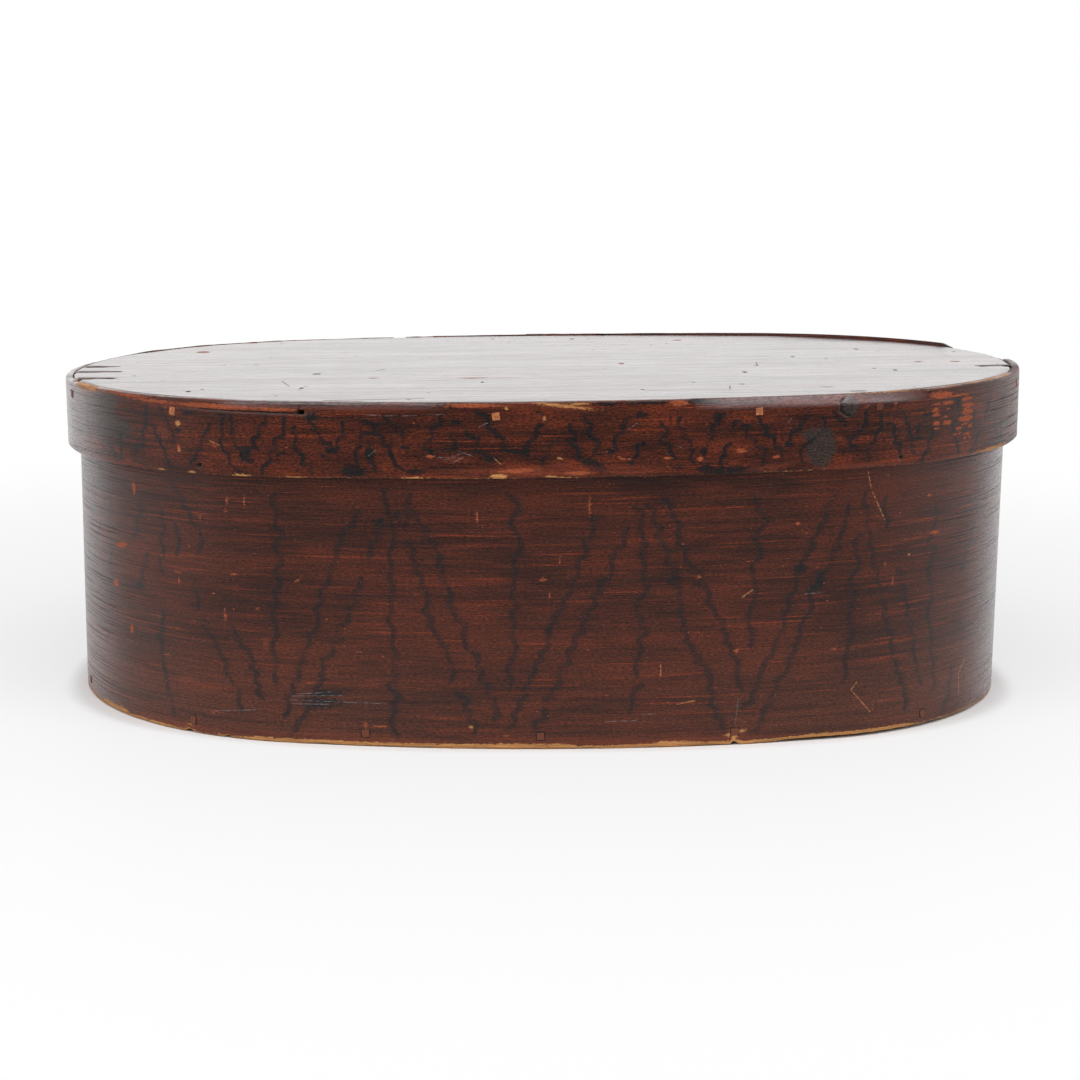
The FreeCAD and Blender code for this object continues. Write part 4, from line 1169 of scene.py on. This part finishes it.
def body_marks(u, z, inner):
    if inner:
        return {key: np.full(u.shape, MARK_REACH) for key in MARK_KINDS}
    half = oval_length(BODY_OFFSET) / 2
    columns = u[:, 0]
    wrapped = (u + half) % (2 * half) - half
    golden = np.interp(wrapped, *zip(*GOLDEN_EDGE))
    uneven = wobble_along(columns[:, None], 0.03, 9.0)
    uneven = uneven + 0.7 * wobble_along(columns[:, None], 0.23, 10.0)
    edge = z - golden - 0.2 - 0.5 * uneven
    bare = np.minimum(mark_distance(wrapped, z, BODY_BARE), edge)
    bare = np.minimum(bare, RIM_HEIGHT - z - 0.9)
    foot = z - 0.4 - 1.4 * wobble_along(u, 0.02, 5.0)
    return {"brush": line_distance(columns, z, BODY_BRUSHWORK, half),
            "blot": mark_distance(wrapped, z, BODY_BLOTS),
            "olive": np.full(u.shape, MARK_REACH),
            "flake": mark_distance(wrapped, z, BODY_FLAKES),
            "peel": np.minimum(mark_distance(wrapped, z, BODY_PEEL), foot),
            "bare": bare}


def back_lip(x, y):
    """Share of the proud edge that is left, along the back: worn low in the middle, whole at the right."""
    left = 0.2 + 0.8 * smooth(-30.0, 215.0, x)
    return left * bump_between(BACK_LIP_LEFT, BACK_LIP_RIGHT, 1.0, x) * (y > 0)


def from_lost_peg(u, shown):
    """Distance from the middle of the lost peg's hole, which is wider than it is high."""
    hole_u, hole_v = LOST_PEG_SHARE * oval_length(0.0), LID_PEG_HEIGHT + LOST_PEG_RISE
    return np.maximum(1.2 * np.abs(u - hole_u), 1.9 * np.abs(shown - hole_v))


def lid_shape(u, z, inner):
    """The lid band's rounded edges, chips, split, knot, lost peg hole and proud back edge."""
    column = u[:, :1]
    high = LID_TOP + BACK_LIP
    x, y = oval_at(0.0, column)[:2]
    proud = back_lip(x, y)
    from_top = (z + LID_SKIRT) / (high + LID_SKIRT)
    lowered = BACK_LIP * (1 - proud)
    noise_u = wobble_along(column, 0.045, 2.2) + 0.5 * wobble_along(column, 0.2, 6.1)
    top_wear = np.maximum(0.0, 0.2 + 0.25 * noise_u) * (1 - proud)
    top_wear = top_wear + 0.8 * bump_between(-400.0, -310.0, 45.0, column)
    top_wear = top_wear + 1.6 * bump_between(BACK_NICK - 2.0, BACK_NICK + 2.0, 1.5, column)
    top_wear = top_wear + 1.5 * bump_between(*BACK_WORN_LOW, 8.0, column)
    bottom_wear = np.maximum(0.0, 0.2 + 0.35 * wobble_along(column, 0.06, 8.8))
    rise = -lowered * from_top - top_wear * np.clip((z - LID_TOP + 6) / 6, 0, 1)
    rise = rise + bottom_wear * np.clip(1 - (z + LID_SKIRT) / 5, 0, 1)
    if inner:
        return rise, 0 * u
    soft_left = bump_between(*LID_SOFT_EDGE, 15.0, column)
    soft_right = bump_between(*LID_BEVEL, 8.0, column)
    round_height = 1.2 + 0.4 * noise_u + 0.8 * soft_left
    round_depth = 1.2 + 0.4 * noise_u + 0.3 * soft_left - 0.9 * soft_right
    top = np.clip(1 - (high - z) / round_height, 0, 1)
    slope_share = np.clip(1 - (high - z) / (5.4 + 0.5 * noise_u), 0, 1)
    bevel = (2.7 * soft_right + 0.5 * soft_left) * slope_share ** 1.35
    low = np.clip(1 - (z + LID_SKIRT) / 1.0, 0, 1)
    lift = -round_depth * (1 - np.sqrt(1 - top ** 2)) - (1 - np.sqrt(1 - low ** 2)) - bevel
    lift = lift - 0.2 + 0.2 * wobble(u * 0.015, z * 0.02, 5.5) + 0.06 * wobble(u * 0.03, z * 0.45, 4.4)
    shown = z - lowered * from_top
    split_height = np.interp(column, (SPLIT_START, SPLIT_END), SPLIT_HEIGHTS)
    deep = 0.35 + 0.9 * smooth(-175.0, -130.0, column)
    split = np.clip(1 - np.abs(shown - split_height) / 0.9, 0, 1)
    split = bump_between(SPLIT_START, SPLIT_END, 6.0, column) * split
    above = bump_between(SPLIT_START, SPLIT_END, 8.0, column) * smooth(-0.2, 0.4, shown - split_height)
    lift = lift - deep * split - 0.25 * above
    lift = lift - 3.0 * smooth(PEG_WIDTH / 2 + 0.4, PEG_WIDTH / 2 - 0.4, from_lost_peg(u, shown))
    for nail_u, nail_v in NAIL_HOLES:
        away = np.hypot(u - nail_u, shown - nail_v)
        lift = lift - 1.8 * smooth(NAIL_HOLE_RADIUS + 0.5, NAIL_HOLE_RADIUS - 0.5, away)
    du, dv = u - KNOT_PLACE[0], shown - KNOT_PLACE[1]
    ring = np.abs(np.hypot(du, dv) - KNOT_RADIUS)
    crack = smooth(0.9, 0.2, ring) * smooth(1.5, -1.0, du) * smooth(4.0, 2.5, dv)
    lift = lift - 1.3 * crack + 0.35 * smooth(KNOT_RADIUS, KNOT_RADIUS - 2.5, np.hypot(du, dv))
    return rise, np.maximum(lift, 0.4 - LID_THICKNESS)


def lid_marks(u, z, inner):
    if inner:
        marks = {key: np.full(u.shape, MARK_REACH) for key in MARK_KINDS}
        for start, end in GOLDEN_TOPS:
            golden = (u > start) & (u < end) & (z > LID_TOP)
            marks["bare"] = np.where(golden, -1.0, marks["bare"])
        return marks
    half = oval_length(0.0) / 2
    column = u[:, :1]
    x, y = oval_at(0.0, column)[:2]
    proud = back_lip(x, y)
    shown = z - BACK_LIP * (1 - proud) * (z + LID_SKIRT) / (LID_TOP + BACK_LIP + LID_SKIRT)
    wrapped = (u + half) % (2 * half) - half
    dashes = wobble_along(column, 0.05, 12.0) + 0.6 * wobble_along(column, 0.25, 13.0)
    behind = smooth(260.0, 300.0, np.abs(wrapped))
    low_edge = shown + LID_SKIRT - 0.7 * dashes * behind + 0.1
    top_edge = LID_TOP - shown - 0.5 * dashes * behind + 0.25 + 3.0 * (proud > 0.2)
    bare = np.minimum(mark_distance(wrapped, shown, LID_BARE), np.minimum(low_edge, top_edge))
    # The split, the knot's crack and the holes are painted dark with the blots: painted shade in them
    split_height = np.interp(column, (SPLIT_START, SPLIT_END), SPLIT_HEIGHTS)
    split_ends = 3 * (1 - bump_between(-170.0, SPLIT_END, 10.0, column))
    split_line = np.abs(shown - split_height + 0.4) - 0.35 + split_ends
    knot_ring = np.abs(np.hypot(u - KNOT_PLACE[0], shown - KNOT_PLACE[1]) - KNOT_RADIUS) - 0.8
    in_crack = (u < KNOT_PLACE[0] + 1) & (shown < KNOT_PLACE[1] + 3.2)
    knot_ring = np.where(in_crack, knot_ring, MARK_REACH)
    hole = 3.0 * (from_lost_peg(u, shown) - PEG_WIDTH / 2 - 0.2)
    for nail_u, nail_v in NAIL_HOLES:
        hole = np.minimum(hole, 4.0 * (np.hypot(u - nail_u, shown - nail_v) - 1.3))
    blot = np.minimum(mark_distance(wrapped, shown, LID_BLOTS), np.minimum(split_line, knot_ring))
    blot = np.minimum(blot, hole)
    return {"brush": line_distance(column[:, 0], shown, LID_BRUSHWORK, half),
            "blot": blot,
            "olive": mark_distance(wrapped, shown, LID_OLIVE),
            "flake": mark_distance(wrapped, shown, LID_FLAKES),
            "peel": mark_distance(wrapped, shown, LID_PEEL),
            "bare": bare}


def oval_board(name, offset, low, high, materials, shape, place=lambda points: points, extra_rows=()):
    """A flat board with an oval outline, in rows along its grain."""
    total = oval_length(offset)
    along = np.linspace(0, total / 2, 201)[1:-1]
    x, y = oval_at(offset, along)[:2]
    rows = np.unique(np.concatenate([y, np.array(extra_rows)]))
    order = np.argsort(y)
    half = np.interp(rows, y[order], x[order])
    near_end = np.linspace(0.72, 1, 40)
    across = np.concatenate([np.linspace(-1, -0.72, 40), np.linspace(-0.7, 0.7, 29), near_end])
    grid_x = half[:, None] * across[None, :]
    grid_y = np.broadcast_to(rows[:, None], grid_x.shape)
    count = grid_x.size
    top_z = high + shape(grid_x, grid_y, half[:, None])
    top = np.stack([grid_x, grid_y, top_z], -1).reshape(-1, 3)
    under = np.stack([grid_x, grid_y, low + 0 * grid_x], -1).reshape(-1, 3)
    points = np.concatenate([top, under])
    index = np.arange(count).reshape(grid_x.shape)
    quads = np.stack([index[:-1, :-1], index[:-1, 1:], index[1:, 1:], index[1:, :-1]], -1).reshape(-1, 4)
    faces = quads.tolist() + (quads[:, ::-1] + count).tolist()
    slots = [0] * len(quads) + [1] * len(quads)
    loop = np.concatenate([index[0, :], index[1:, -1], index[-1, -2::-1], index[-2:0:-1, 0]])
    following = np.roll(loop, -1)
    walls = np.stack([loop, loop + count, following + count, following], -1)
    faces += walls.tolist()
    slots += [2] * len(walls)
    return make_object(name, place(points), faces, materials, None, slots)


# End checks in the lid board: distance across, length and which end
END_CHECKS = ((11.0, 19.0, -1), (-14.0, 25.0, -1), (-44.0, 20.0, -1), (-34.0, 19.0, 1))


def lid_board_shape(x, y, half):
    """Slight waves in the board, sunk a little, with rounded ends and cracks that start at its ends."""
    z = 0.25 * wobble(x * 0.006, y * 0.03, 2.0) + 0.08 * wobble(x * 0.01, y * 0.2, 3.0)
    z = z - 0.3 - 0.9 * np.clip(1 - (half - np.abs(x)) / 1.5, 0, 1) ** 2
    for across, length, end in END_CHECKS:
        depth = np.clip((x * end - (half - length)) / length, 0, 1) ** 0.5
        bend = across + 0.8 * wobble(x * 0.05, y * 0, across)
        gap = np.clip(1.2 - np.abs(y - bend) / (0.7 + 1.5 * depth), 0, 1)
        z = z - 4.0 * depth * gap
    return z


def bottom_board_shape(x, y, half):
    """Slight waves, with nothing at the ends that needs the half length."""
    return 0.1 * wobble(x * 0.006, y * 0.03, 8.0)


class Growth:
    """A short way to write a Geometry Nodes tree that puts one small thing on each point."""

    def __init__(self, name, sizes):
        self.tree = bpy.data.node_groups.new(name, "GeometryNodeTree")
        face = self.tree.interface
        face.new_socket("Geometry", in_out="INPUT", socket_type="NodeSocketGeometry")
        for size in sizes:
            face.new_socket(size, in_out="INPUT", socket_type="NodeSocketFloat")
        face.new_socket("Geometry", in_out="OUTPUT", socket_type="NodeSocketGeometry")
        self.start = self.tree.nodes.new("NodeGroupInput").outputs
        self.end = self.tree.nodes.new("NodeGroupOutput")

    def new(self, kind, inputs, output=0, **settings):
        """A node whose inputs are values or other nodes' outputs."""
        node = self.tree.nodes.new(kind)
        for key, value in settings.items():
            setattr(node, key, value)
        for key, value in inputs.items():
            if isinstance(value, bpy.types.NodeSocket):
                self.tree.links.new(value, node.inputs[key])
            else:
                node.inputs[key].default_value = value
        return node.outputs[output]

    def outward(self):
        """A turn that points Z along each point's outward direction."""
        normal = self.new("GeometryNodeInputNamedAttribute", {"Name": "outward"}, data_type="FLOAT_VECTOR")
        return self.new("FunctionNodeAlignRotationToVector", {"Vector": normal}, axis="Z")

    def random(self, low, high, seed):
        inputs = {"Min": low, "Max": high, "Seed": seed}
        return self.new("FunctionNodeRandomValue", inputs, data_type="FLOAT_VECTOR")

    def spread(self, thing, **turns):
        """One real copy of a thing on each point."""
        inputs = {"Points": self.start["Geometry"], "Instance": thing, **turns}
        return self.new("GeometryNodeRealizeInstances", {0: self.new("GeometryNodeInstanceOnPoints", inputs)})

    def finish(self, geometry, material):
        painted = self.new("GeometryNodeSetMaterial", {"Geometry": geometry, "Material": material})
        self.tree.links.new(painted, self.end.inputs[0])
        return self.tree


def peg_tree(material):
    """Geometry Nodes: one whittled square peg on each point, its end turned along the point's normal."""
    g = Growth("peg_row", ("Width", "Length", "Unevenness"))
    width = g.start["Width"]
    size = g.new("ShaderNodeCombineXYZ", {0: width, 1: width, 2: g.start["Length"]})
    cube_inputs = {"Vertices X": 4, "Vertices Y": 4, "Vertices Z": 4, "Size": size}
    cube = g.new("GeometryNodeMeshCube", cube_inputs, "Mesh")
    slant = g.random((-0.25, -0.25, 1.0), (0.25, 0.25, 1.0), 9)
    upright = g.new("FunctionNodeAlignRotationToVector", {"Rotation": g.outward(), "Vector": slant},
                    axis="Y", pivot_axis="Z")
    scale = g.random((0.88, 0.88, 0.995), (1.0, 1.0, 1.0), 4)
    real = g.spread(cube, Rotation=upright, Scale=scale)
    where = g.new("GeometryNodeInputPosition", {})
    rough = g.new("ShaderNodeTexNoise", {"Scale": 400.0, "Vector": where}, "Color")
    centred = g.new("ShaderNodeVectorMath", {0: rough, 1: (0.5, 0.5, 0.5)}, operation="SUBTRACT")
    uneven = {0: centred, "Scale": g.start["Unevenness"]}
    little = g.new("ShaderNodeVectorMath", uneven, operation="SCALE")
    moved = g.new("GeometryNodeSetPosition", {"Geometry": real, "Offset": little})
    return g.finish(moved, material)


def tack_tree(material):
    """Geometry Nodes: a domed tack head on each point."""
    g = Growth("tack_row", ("Head radius", "Head height"))
    dome = g.new("GeometryNodeMeshUVSphere", {"Segments": 16, "Rings": 8, "Radius": 1.0}, "Mesh")
    radius = g.start["Head radius"]
    size = g.new("ShaderNodeCombineXYZ", {0: radius, 1: radius, 2: g.start["Head height"]})
    flat = g.new("GeometryNodeTransform", {"Geometry": dome, "Scale": size})
    return g.finish(g.spread(flat, Rotation=g.outward()), material)


def grow(name, points, outward, tree, sizes, painted=0.0):
    """Run a tree on a set of points and keep its result as a plain mesh."""
    mesh = bpy.data.meshes.new(name + "_points")
    mesh.from_pydata((points * MM).tolist(), [], [])
    attribute = mesh.attributes.new("outward", "FLOAT_VECTOR", "POINT")
    attribute.data.foreach_set("vector", outward.astype(np.float32).ravel())
    attribute = mesh.attributes.new("painted", "FLOAT", "POINT")
    attribute.data.foreach_set("value", np.full(len(points), painted, np.float32) + 0 * points[:, 0])
    seed = add_to_scene(name + "_points", mesh)
    modifier = seed.modifiers.new("grow", "NODES")
    modifier.node_group = tree
    for item in tree.interface.items_tree:
        if item.item_type == "SOCKET" and item.in_out == "INPUT" and item.name in sizes:
            modifier[item.identifier] = sizes[item.name]
    bpy.context.view_layer.update()
    result = bpy.data.meshes.new_from_object(seed.evaluated_get(bpy.context.evaluated_depsgraph_get()))
    seed.modifiers.clear()
    bpy.data.objects.remove(seed)
    result.name = name
    return add_to_scene(name, result)


def ring_places(offset, shares, height):
    """Places and outward directions at shares of the way round an inset oval."""
    along = np.array(shares) * oval_length(offset)
    x, y, nx, ny = oval_at(offset, along)
    return np.stack([x, y, 0 * x + height], 1), np.stack([nx, ny, 0 * nx], 1)


def tack_points(offset, low, high, count):
    """Places of the tacks on a lap: tip, middle and a pair at the root of each finger."""
    length = oval_length(offset)
    pitch = (high - low) / count
    roots = length + LAP_LENGTH - FINGER_LENGTH
    tips = length + LAP_LENGTH
    w, z = [], []
    for finger in range(count):
        middle = low + (finger + 0.5) * pitch
        w += [tips - TACK_TO_TIP, (roots + tips) / 2, roots - TACK_TO_ROOT, roots - TACK_TO_ROOT]
        z += [middle, middle, middle - TACK_SPREAD / 2, middle + TACK_SPREAD / 2]
    u = np.array(w) - LAP_LENGTH / 2 - length / 2
    x, y, nx, ny = oval_at(offset, u)
    lift = LAP_HAIRLINE + LAP_OUTER
    return np.stack([x + nx * lift, y + ny * lift, np.array(z)], 1), np.stack([nx, ny, 0 * nx], 1)


def tilt_directions(directions):
    x, y, z = directions.T
    cos, sin = math.cos(LID_TILT), math.sin(LID_TILT)
    return np.stack([x * cos - z * sin, y, x * sin + z * cos], 1)


def finish_piece(piece, body, node):
    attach(piece, body)
    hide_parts(node)


front_pegs = [share * oval_length(BODY_OFFSET) for share in BOTTOM_PEG_SHARES if abs(share) < 0.2]
painted_body = grain_paint("body_grain_paint", seed=1.0, streak_strength=0.84, ink_strength=0.64,
                           line_width=1.65, grit_strength=0.72, patch_strength=0.35, specular=0.27,
                           peg_places=front_pegs, scratch_lines=BODY_SCRATCHES, scuff_lines=BODY_SCUFFS,
                           lower_lightening=0.5)
painted_lid = grain_paint("lid_grain_paint", seed=21.0, streak_strength=0.9, ink_strength=0.86,
                          line_width=1.3, grit_strength=0.95, patch_strength=0.9, specular=0.2,
                          scratch_lines=LID_SCRATCHES, scuff_lines=LID_SCUFFS, split_lines=LID_SPLIT_LINE,
                          glossy=glossy_edges)
INSIDE_LIGHT, INSIDE_DARK = (0.34, 0.185, 0.085), (0.20, 0.095, 0.042)
inside_wood = bare_wood("inside_wood", INSIDE_LIGHT, INSIDE_DARK)
band_inside_wood = bare_wood("band_inside_wood", INSIDE_LIGHT, INSIDE_DARK, on_band=True)
bottom_wood = bare_wood("bottom_wood", (0.36, 0.20, 0.095), (0.21, 0.105, 0.048))
# Board edges, nearly black: grime, and painted shade in the thin gap between each board and its band
edge_grime_and_shade = bare_wood("edge_wood_grime_and_shade", (0.028, 0.014, 0.008), (0.012, 0.007, 0.005))
varnish = lid_top_varnish()
pegs_material = peg_wood()
copper = tack_copper()

# The two bands
body_zones = [(0.0, BODY_FINGER_LOW, False)]
body_pitch = (BODY_FINGER_HIGH - BODY_FINGER_LOW) / BODY_FINGERS
for finger in range(BODY_FINGERS):
    finger_low = BODY_FINGER_LOW + finger * body_pitch
    body_zones.append((finger_low, finger_low + body_pitch, True))
body_zones.append((BODY_FINGER_HIGH, RIM_HEIGHT, False))
body_strip = Strip(BODY_OFFSET, BODY_THICKNESS, body_zones, row_step=1.75, front_reach=275.0,
                   front_step=1.15, back_step=2.2, inner_step=20.0)
BODY_BRUSHWORK = all_round(BODY_LINES, ruled_zigzag, body_strip.length / 2, 250.0, 1.5)
body_band = build_strip("bent_body_band", body_strip, body_shape, body_marks,
                        [painted_body, band_inside_wood], RIM_HEIGHT + 5)
finish_piece(body_band, "box", "body_band")

lid_zones = [(-LID_SKIRT, LID_TOP + BACK_LIP, True)]
lid_strip = Strip(0.0, LID_THICKNESS, lid_zones, row_step=0.75, front_reach=290.0,
                  front_step=1.0, back_step=1.6, inner_step=5.4, painted_above=(LID_TOP - 1.0,))
LID_BRUSHWORK = all_round(LID_LINES, ruled_stairs, lid_strip.length / 2, 262.0, 0.5)
lid_band = build_strip("bent_lid_band", lid_strip, lid_shape, lid_marks, [painted_lid, band_inside_wood],
                       LID_TOP - 1.0, tilted)
finish_piece(lid_band, "lid", "lid_band")

# The two boards
CHECK_ROWS = (-1.8, -1.0, -0.4, 0.4, 1.0, 1.8)
check_rows = [across + step for across, length, end in END_CHECKS for step in CHECK_ROWS]
lid_board = oval_board("wide_lid_board", LID_THICKNESS + LID_BOARD_JOINT, 0.0, LID_TOP,
                       [varnish, inside_wood, edge_grime_and_shade], lid_board_shape, tilted, check_rows)
finish_piece(lid_board, "lid", "lid_board")
bottom_board = oval_board("wide_bottom_board", BODY_OFFSET + BODY_THICKNESS + BOARD_JOINT, 0.0, BOTTOM_TOP,
                          [bottom_wood, bottom_wood, edge_grime_and_shade], bottom_board_shape)
finish_piece(bottom_board, "box", "bottom_board")

# Pegs and tacks
pegs_in = peg_tree(pegs_material)
peg_sizes = {"Width": PEG_WIDTH * MM, "Length": PEG_LENGTH * MM, "Unevenness": PEG_UNEVEN * MM}
places, outward = ring_places(BODY_OFFSET, BOTTOM_PEG_SHARES, BOTTOM_PEG_HEIGHT)
places = places - outward * (PEG_LENGTH / 2 + BOTTOM_PEG_SUNK)
bottom_pegs = grow("whittled_bottom_pegs", places, outward, pegs_in, peg_sizes, BOTTOM_PEG_PAINT)
finish_piece(bottom_pegs, "box", "bottom_pegs")
places, outward = ring_places(0.0, LID_PEG_SHARES, LID_PEG_HEIGHT)
places = tilted(places - outward * (PEG_LENGTH / 2 - LID_PEG_PROUD))
lid_paint_left = np.where(np.isin(LID_PEG_SHARES, BARE_LID_PEG_SHARES), 0.0, 1.0)
lid_pegs = grow("whittled_lid_pegs", places, tilt_directions(outward), pegs_in, peg_sizes, lid_paint_left)
finish_piece(lid_pegs, "lid", "lid_pegs")

tacks_on = tack_tree(copper)
tack_sizes = {"Head radius": TACK_HEAD_RADIUS * MM, "Head height": TACK_HEAD_HEIGHT * MM}
places, outward = tack_points(BODY_OFFSET, BODY_FINGER_LOW, BODY_FINGER_HIGH, BODY_FINGERS)
body_tacks = grow("body_tack_heads", places, outward, tacks_on, tack_sizes)
finish_piece(body_tacks, "box", "body_lap_tacks")
places, outward = tack_points(0.0, -LID_SKIRT, LID_TOP, 1)
lid_tacks = grow("lid_tack_heads", tilted(places), tilt_directions(outward), tacks_on, tack_sizes)
finish_piece(lid_tacks, "lid", "lid_lap_tacks")

# Camera, from the outlines of the box in the photograph
CAMERA_PLACE = (-0.0675, -1.1538, 0.2959)
CAMERA_YAW = 0.057
CAMERA_PITCH = 0.1906
CAMERA_ROLL = 0.0101
CAMERA_LENS = 71.63


def make_camera():
    forward = Vector((0, math.cos(CAMERA_PITCH), -math.sin(CAMERA_PITCH)))
    upward = Vector((0, math.sin(CAMERA_PITCH), math.cos(CAMERA_PITCH)))
    right = Vector((1, 0, 0))
    turned_right = right * math.cos(CAMERA_ROLL) + upward * math.sin(CAMERA_ROLL)
    turned_up = upward * math.cos(CAMERA_ROLL) - right * math.sin(CAMERA_ROLL)
    axes = Matrix((turned_right, turned_up, -forward)).transposed().to_4x4()
    camera = add_to_scene("camera", bpy.data.cameras.new("camera"))
    camera.matrix_world = Matrix.Translation(CAMERA_PLACE) @ Matrix.Rotation(-CAMERA_YAW, 4, "Z") @ axes
    camera.data.lens = CAMERA_LENS
    camera.data.sensor_width = 36.0
    bpy.context.scene.camera = camera


# The rounded outline of the body's foot on the floor
FOOT_HALF_LENGTH = 247.5
FOOT_HALF_WIDTH = 156.0
FOOT_SQUARENESS = 2.53
FLOOR_HALF = 6.0
FLOOR_COLOUR = (0.90, 0.90, 0.905)


def make_floor():
    """A pale floor that keeps the shadow near the box and fades to white further away."""
    n = Nodes("pale_floor")
    x, y = n.object_mm()[:2]
    far = n.math("SQRT", n.add(n.mul(x, x), n.mul(y, y)))
    glow = n.new("ShaderNodeEmission")
    glow.inputs[0].default_value = (1, 1, 1, 1)
    n.finish(n.mix(0.0, FLOOR_COLOUR, FLOOR_COLOUR), 0.6, specular=0.2)
    path = n.new("ShaderNodeLightPath")
    in_front = n.ramp(y, -900.0, -250.0, 0.25, 1.0)
    glow_level = n.mix(path.outputs["Is Glossy Ray"], (1.0, 1.0, 1.0), in_front)
    n.join(glow_level, glow.inputs[1])
    seen = n.most(path.outputs["Is Camera Ray"], path.outputs["Is Glossy Ray"])
    blend = n.new("ShaderNodeMixShader")
    along = n.math("POWER", n.mul(n.abs(x), 1 / FOOT_HALF_LENGTH), FOOT_SQUARENESS)
    across = n.math("POWER", n.mul(n.abs(y), 1 / FOOT_HALF_WIDTH), FOOT_SQUARENESS)
    outline = n.math("POWER", n.add(along, across), 1 / FOOT_SQUARENESS)
    kept = n.mul(n.ramp(far, 300.0, 900.0, 0.55, 1.0), n.ramp(outline, 1.0, 1.05))
    n.join(n.mul(kept, seen), blend.inputs[0])
    n.join(n.shader.outputs[0], blend.inputs[1])
    n.join(glow.outputs[0], blend.inputs[2])
    n.join(blend.outputs[0], n.output.inputs[0])
    corners = [(x * FLOOR_HALF, y * FLOOR_HALF, 0) for x, y in ((-1, -1), (1, -1), (1, 1), (-1, 1))]
    mesh = bpy.data.meshes.new("floor")
    mesh.from_pydata(corners, [], [(0, 1, 2, 3)])
    mesh.materials.append(n.material)
    add_to_scene("floor", mesh)


# World levels: to the camera, to the box as plain light, and in reflections from front, sides and back
WORLD_PLAIN = 0.42
WORLD_FRONT = 0.25
WORLD_BEHIND = 1.35


def make_world():
    """White to the camera, and darker in reflections from the front, where the photographer stands."""
    world = bpy.data.worlds.new("studio")
    bpy.context.scene.world = world
    world.use_nodes = True
    tree = world.node_tree
    tree.nodes.clear()
    new, link = tree.nodes.new, tree.links.new
    path = new("ShaderNodeLightPath")
    towards = new("ShaderNodeSeparateXYZ")
    link(new("ShaderNodeTexCoord").outputs["Generated"], towards.inputs[0])
    behind = new("ShaderNodeMapRange")
    behind.interpolation_type = "SMOOTHSTEP"
    for socket, value in zip(behind.inputs, (0.5, -0.95, -0.2, WORLD_FRONT, WORLD_BEHIND)):
        socket.default_value = value
    link(towards.outputs["Y"], behind.inputs[0])
    glossy = new("ShaderNodeMix")
    glossy.inputs[2].default_value = WORLD_PLAIN
    link(path.outputs["Is Glossy Ray"], glossy.inputs[0])
    link(behind.outputs[0], glossy.inputs[3])
    both = new("ShaderNodeMath")
    both.operation = "MAXIMUM"
    link(path.outputs["Is Camera Ray"], both.inputs[0])
    link(path.outputs["Is Transmission Ray"], both.inputs[1])
    level = new("ShaderNodeMix")
    level.inputs[3].default_value = 1.0
    link(both.outputs[0], level.inputs[0])
    link(glossy.outputs[0], level.inputs[2])
    sky = new("ShaderNodeBackground")
    sky.inputs[0].default_value = (1, 1, 1, 1)
    link(level.outputs[0], sky.inputs["Strength"])
    out = new("ShaderNodeOutputWorld")
    link(sky.outputs[0], out.inputs[0])


def add_lamp(name, place, target, size, power):
    data = bpy.data.lights.new(name, "AREA")
    data.shape = "RECTANGLE"
    data.size, data.size_y = size
    data.energy = power
    lamp = add_to_scene(name, data)
    lamp.location = place
    lamp.rotation_euler = (Vector(target) - Vector(place)).to_track_quat("-Z", "Y").to_euler()


make_camera()
make_floor()
make_world()
add_lamp("overhead_softbox", place=(0.0, -0.75, 1.55), target=(0, 0, 0.1), size=(2.0, 1.0), power=17.0)
add_lamp("left_softbox", place=(-1.5, -1.1, 1.0), target=(0, 0, 0.08), size=(1.0, 1.0), power=7.8)
add_lamp("right_softbox", place=(1.5, -1.1, 1.0), target=(0, 0, 0.08), size=(1.0, 1.0), power=6.2)

bpy.context.scene.view_settings.view_transform = "Standard"
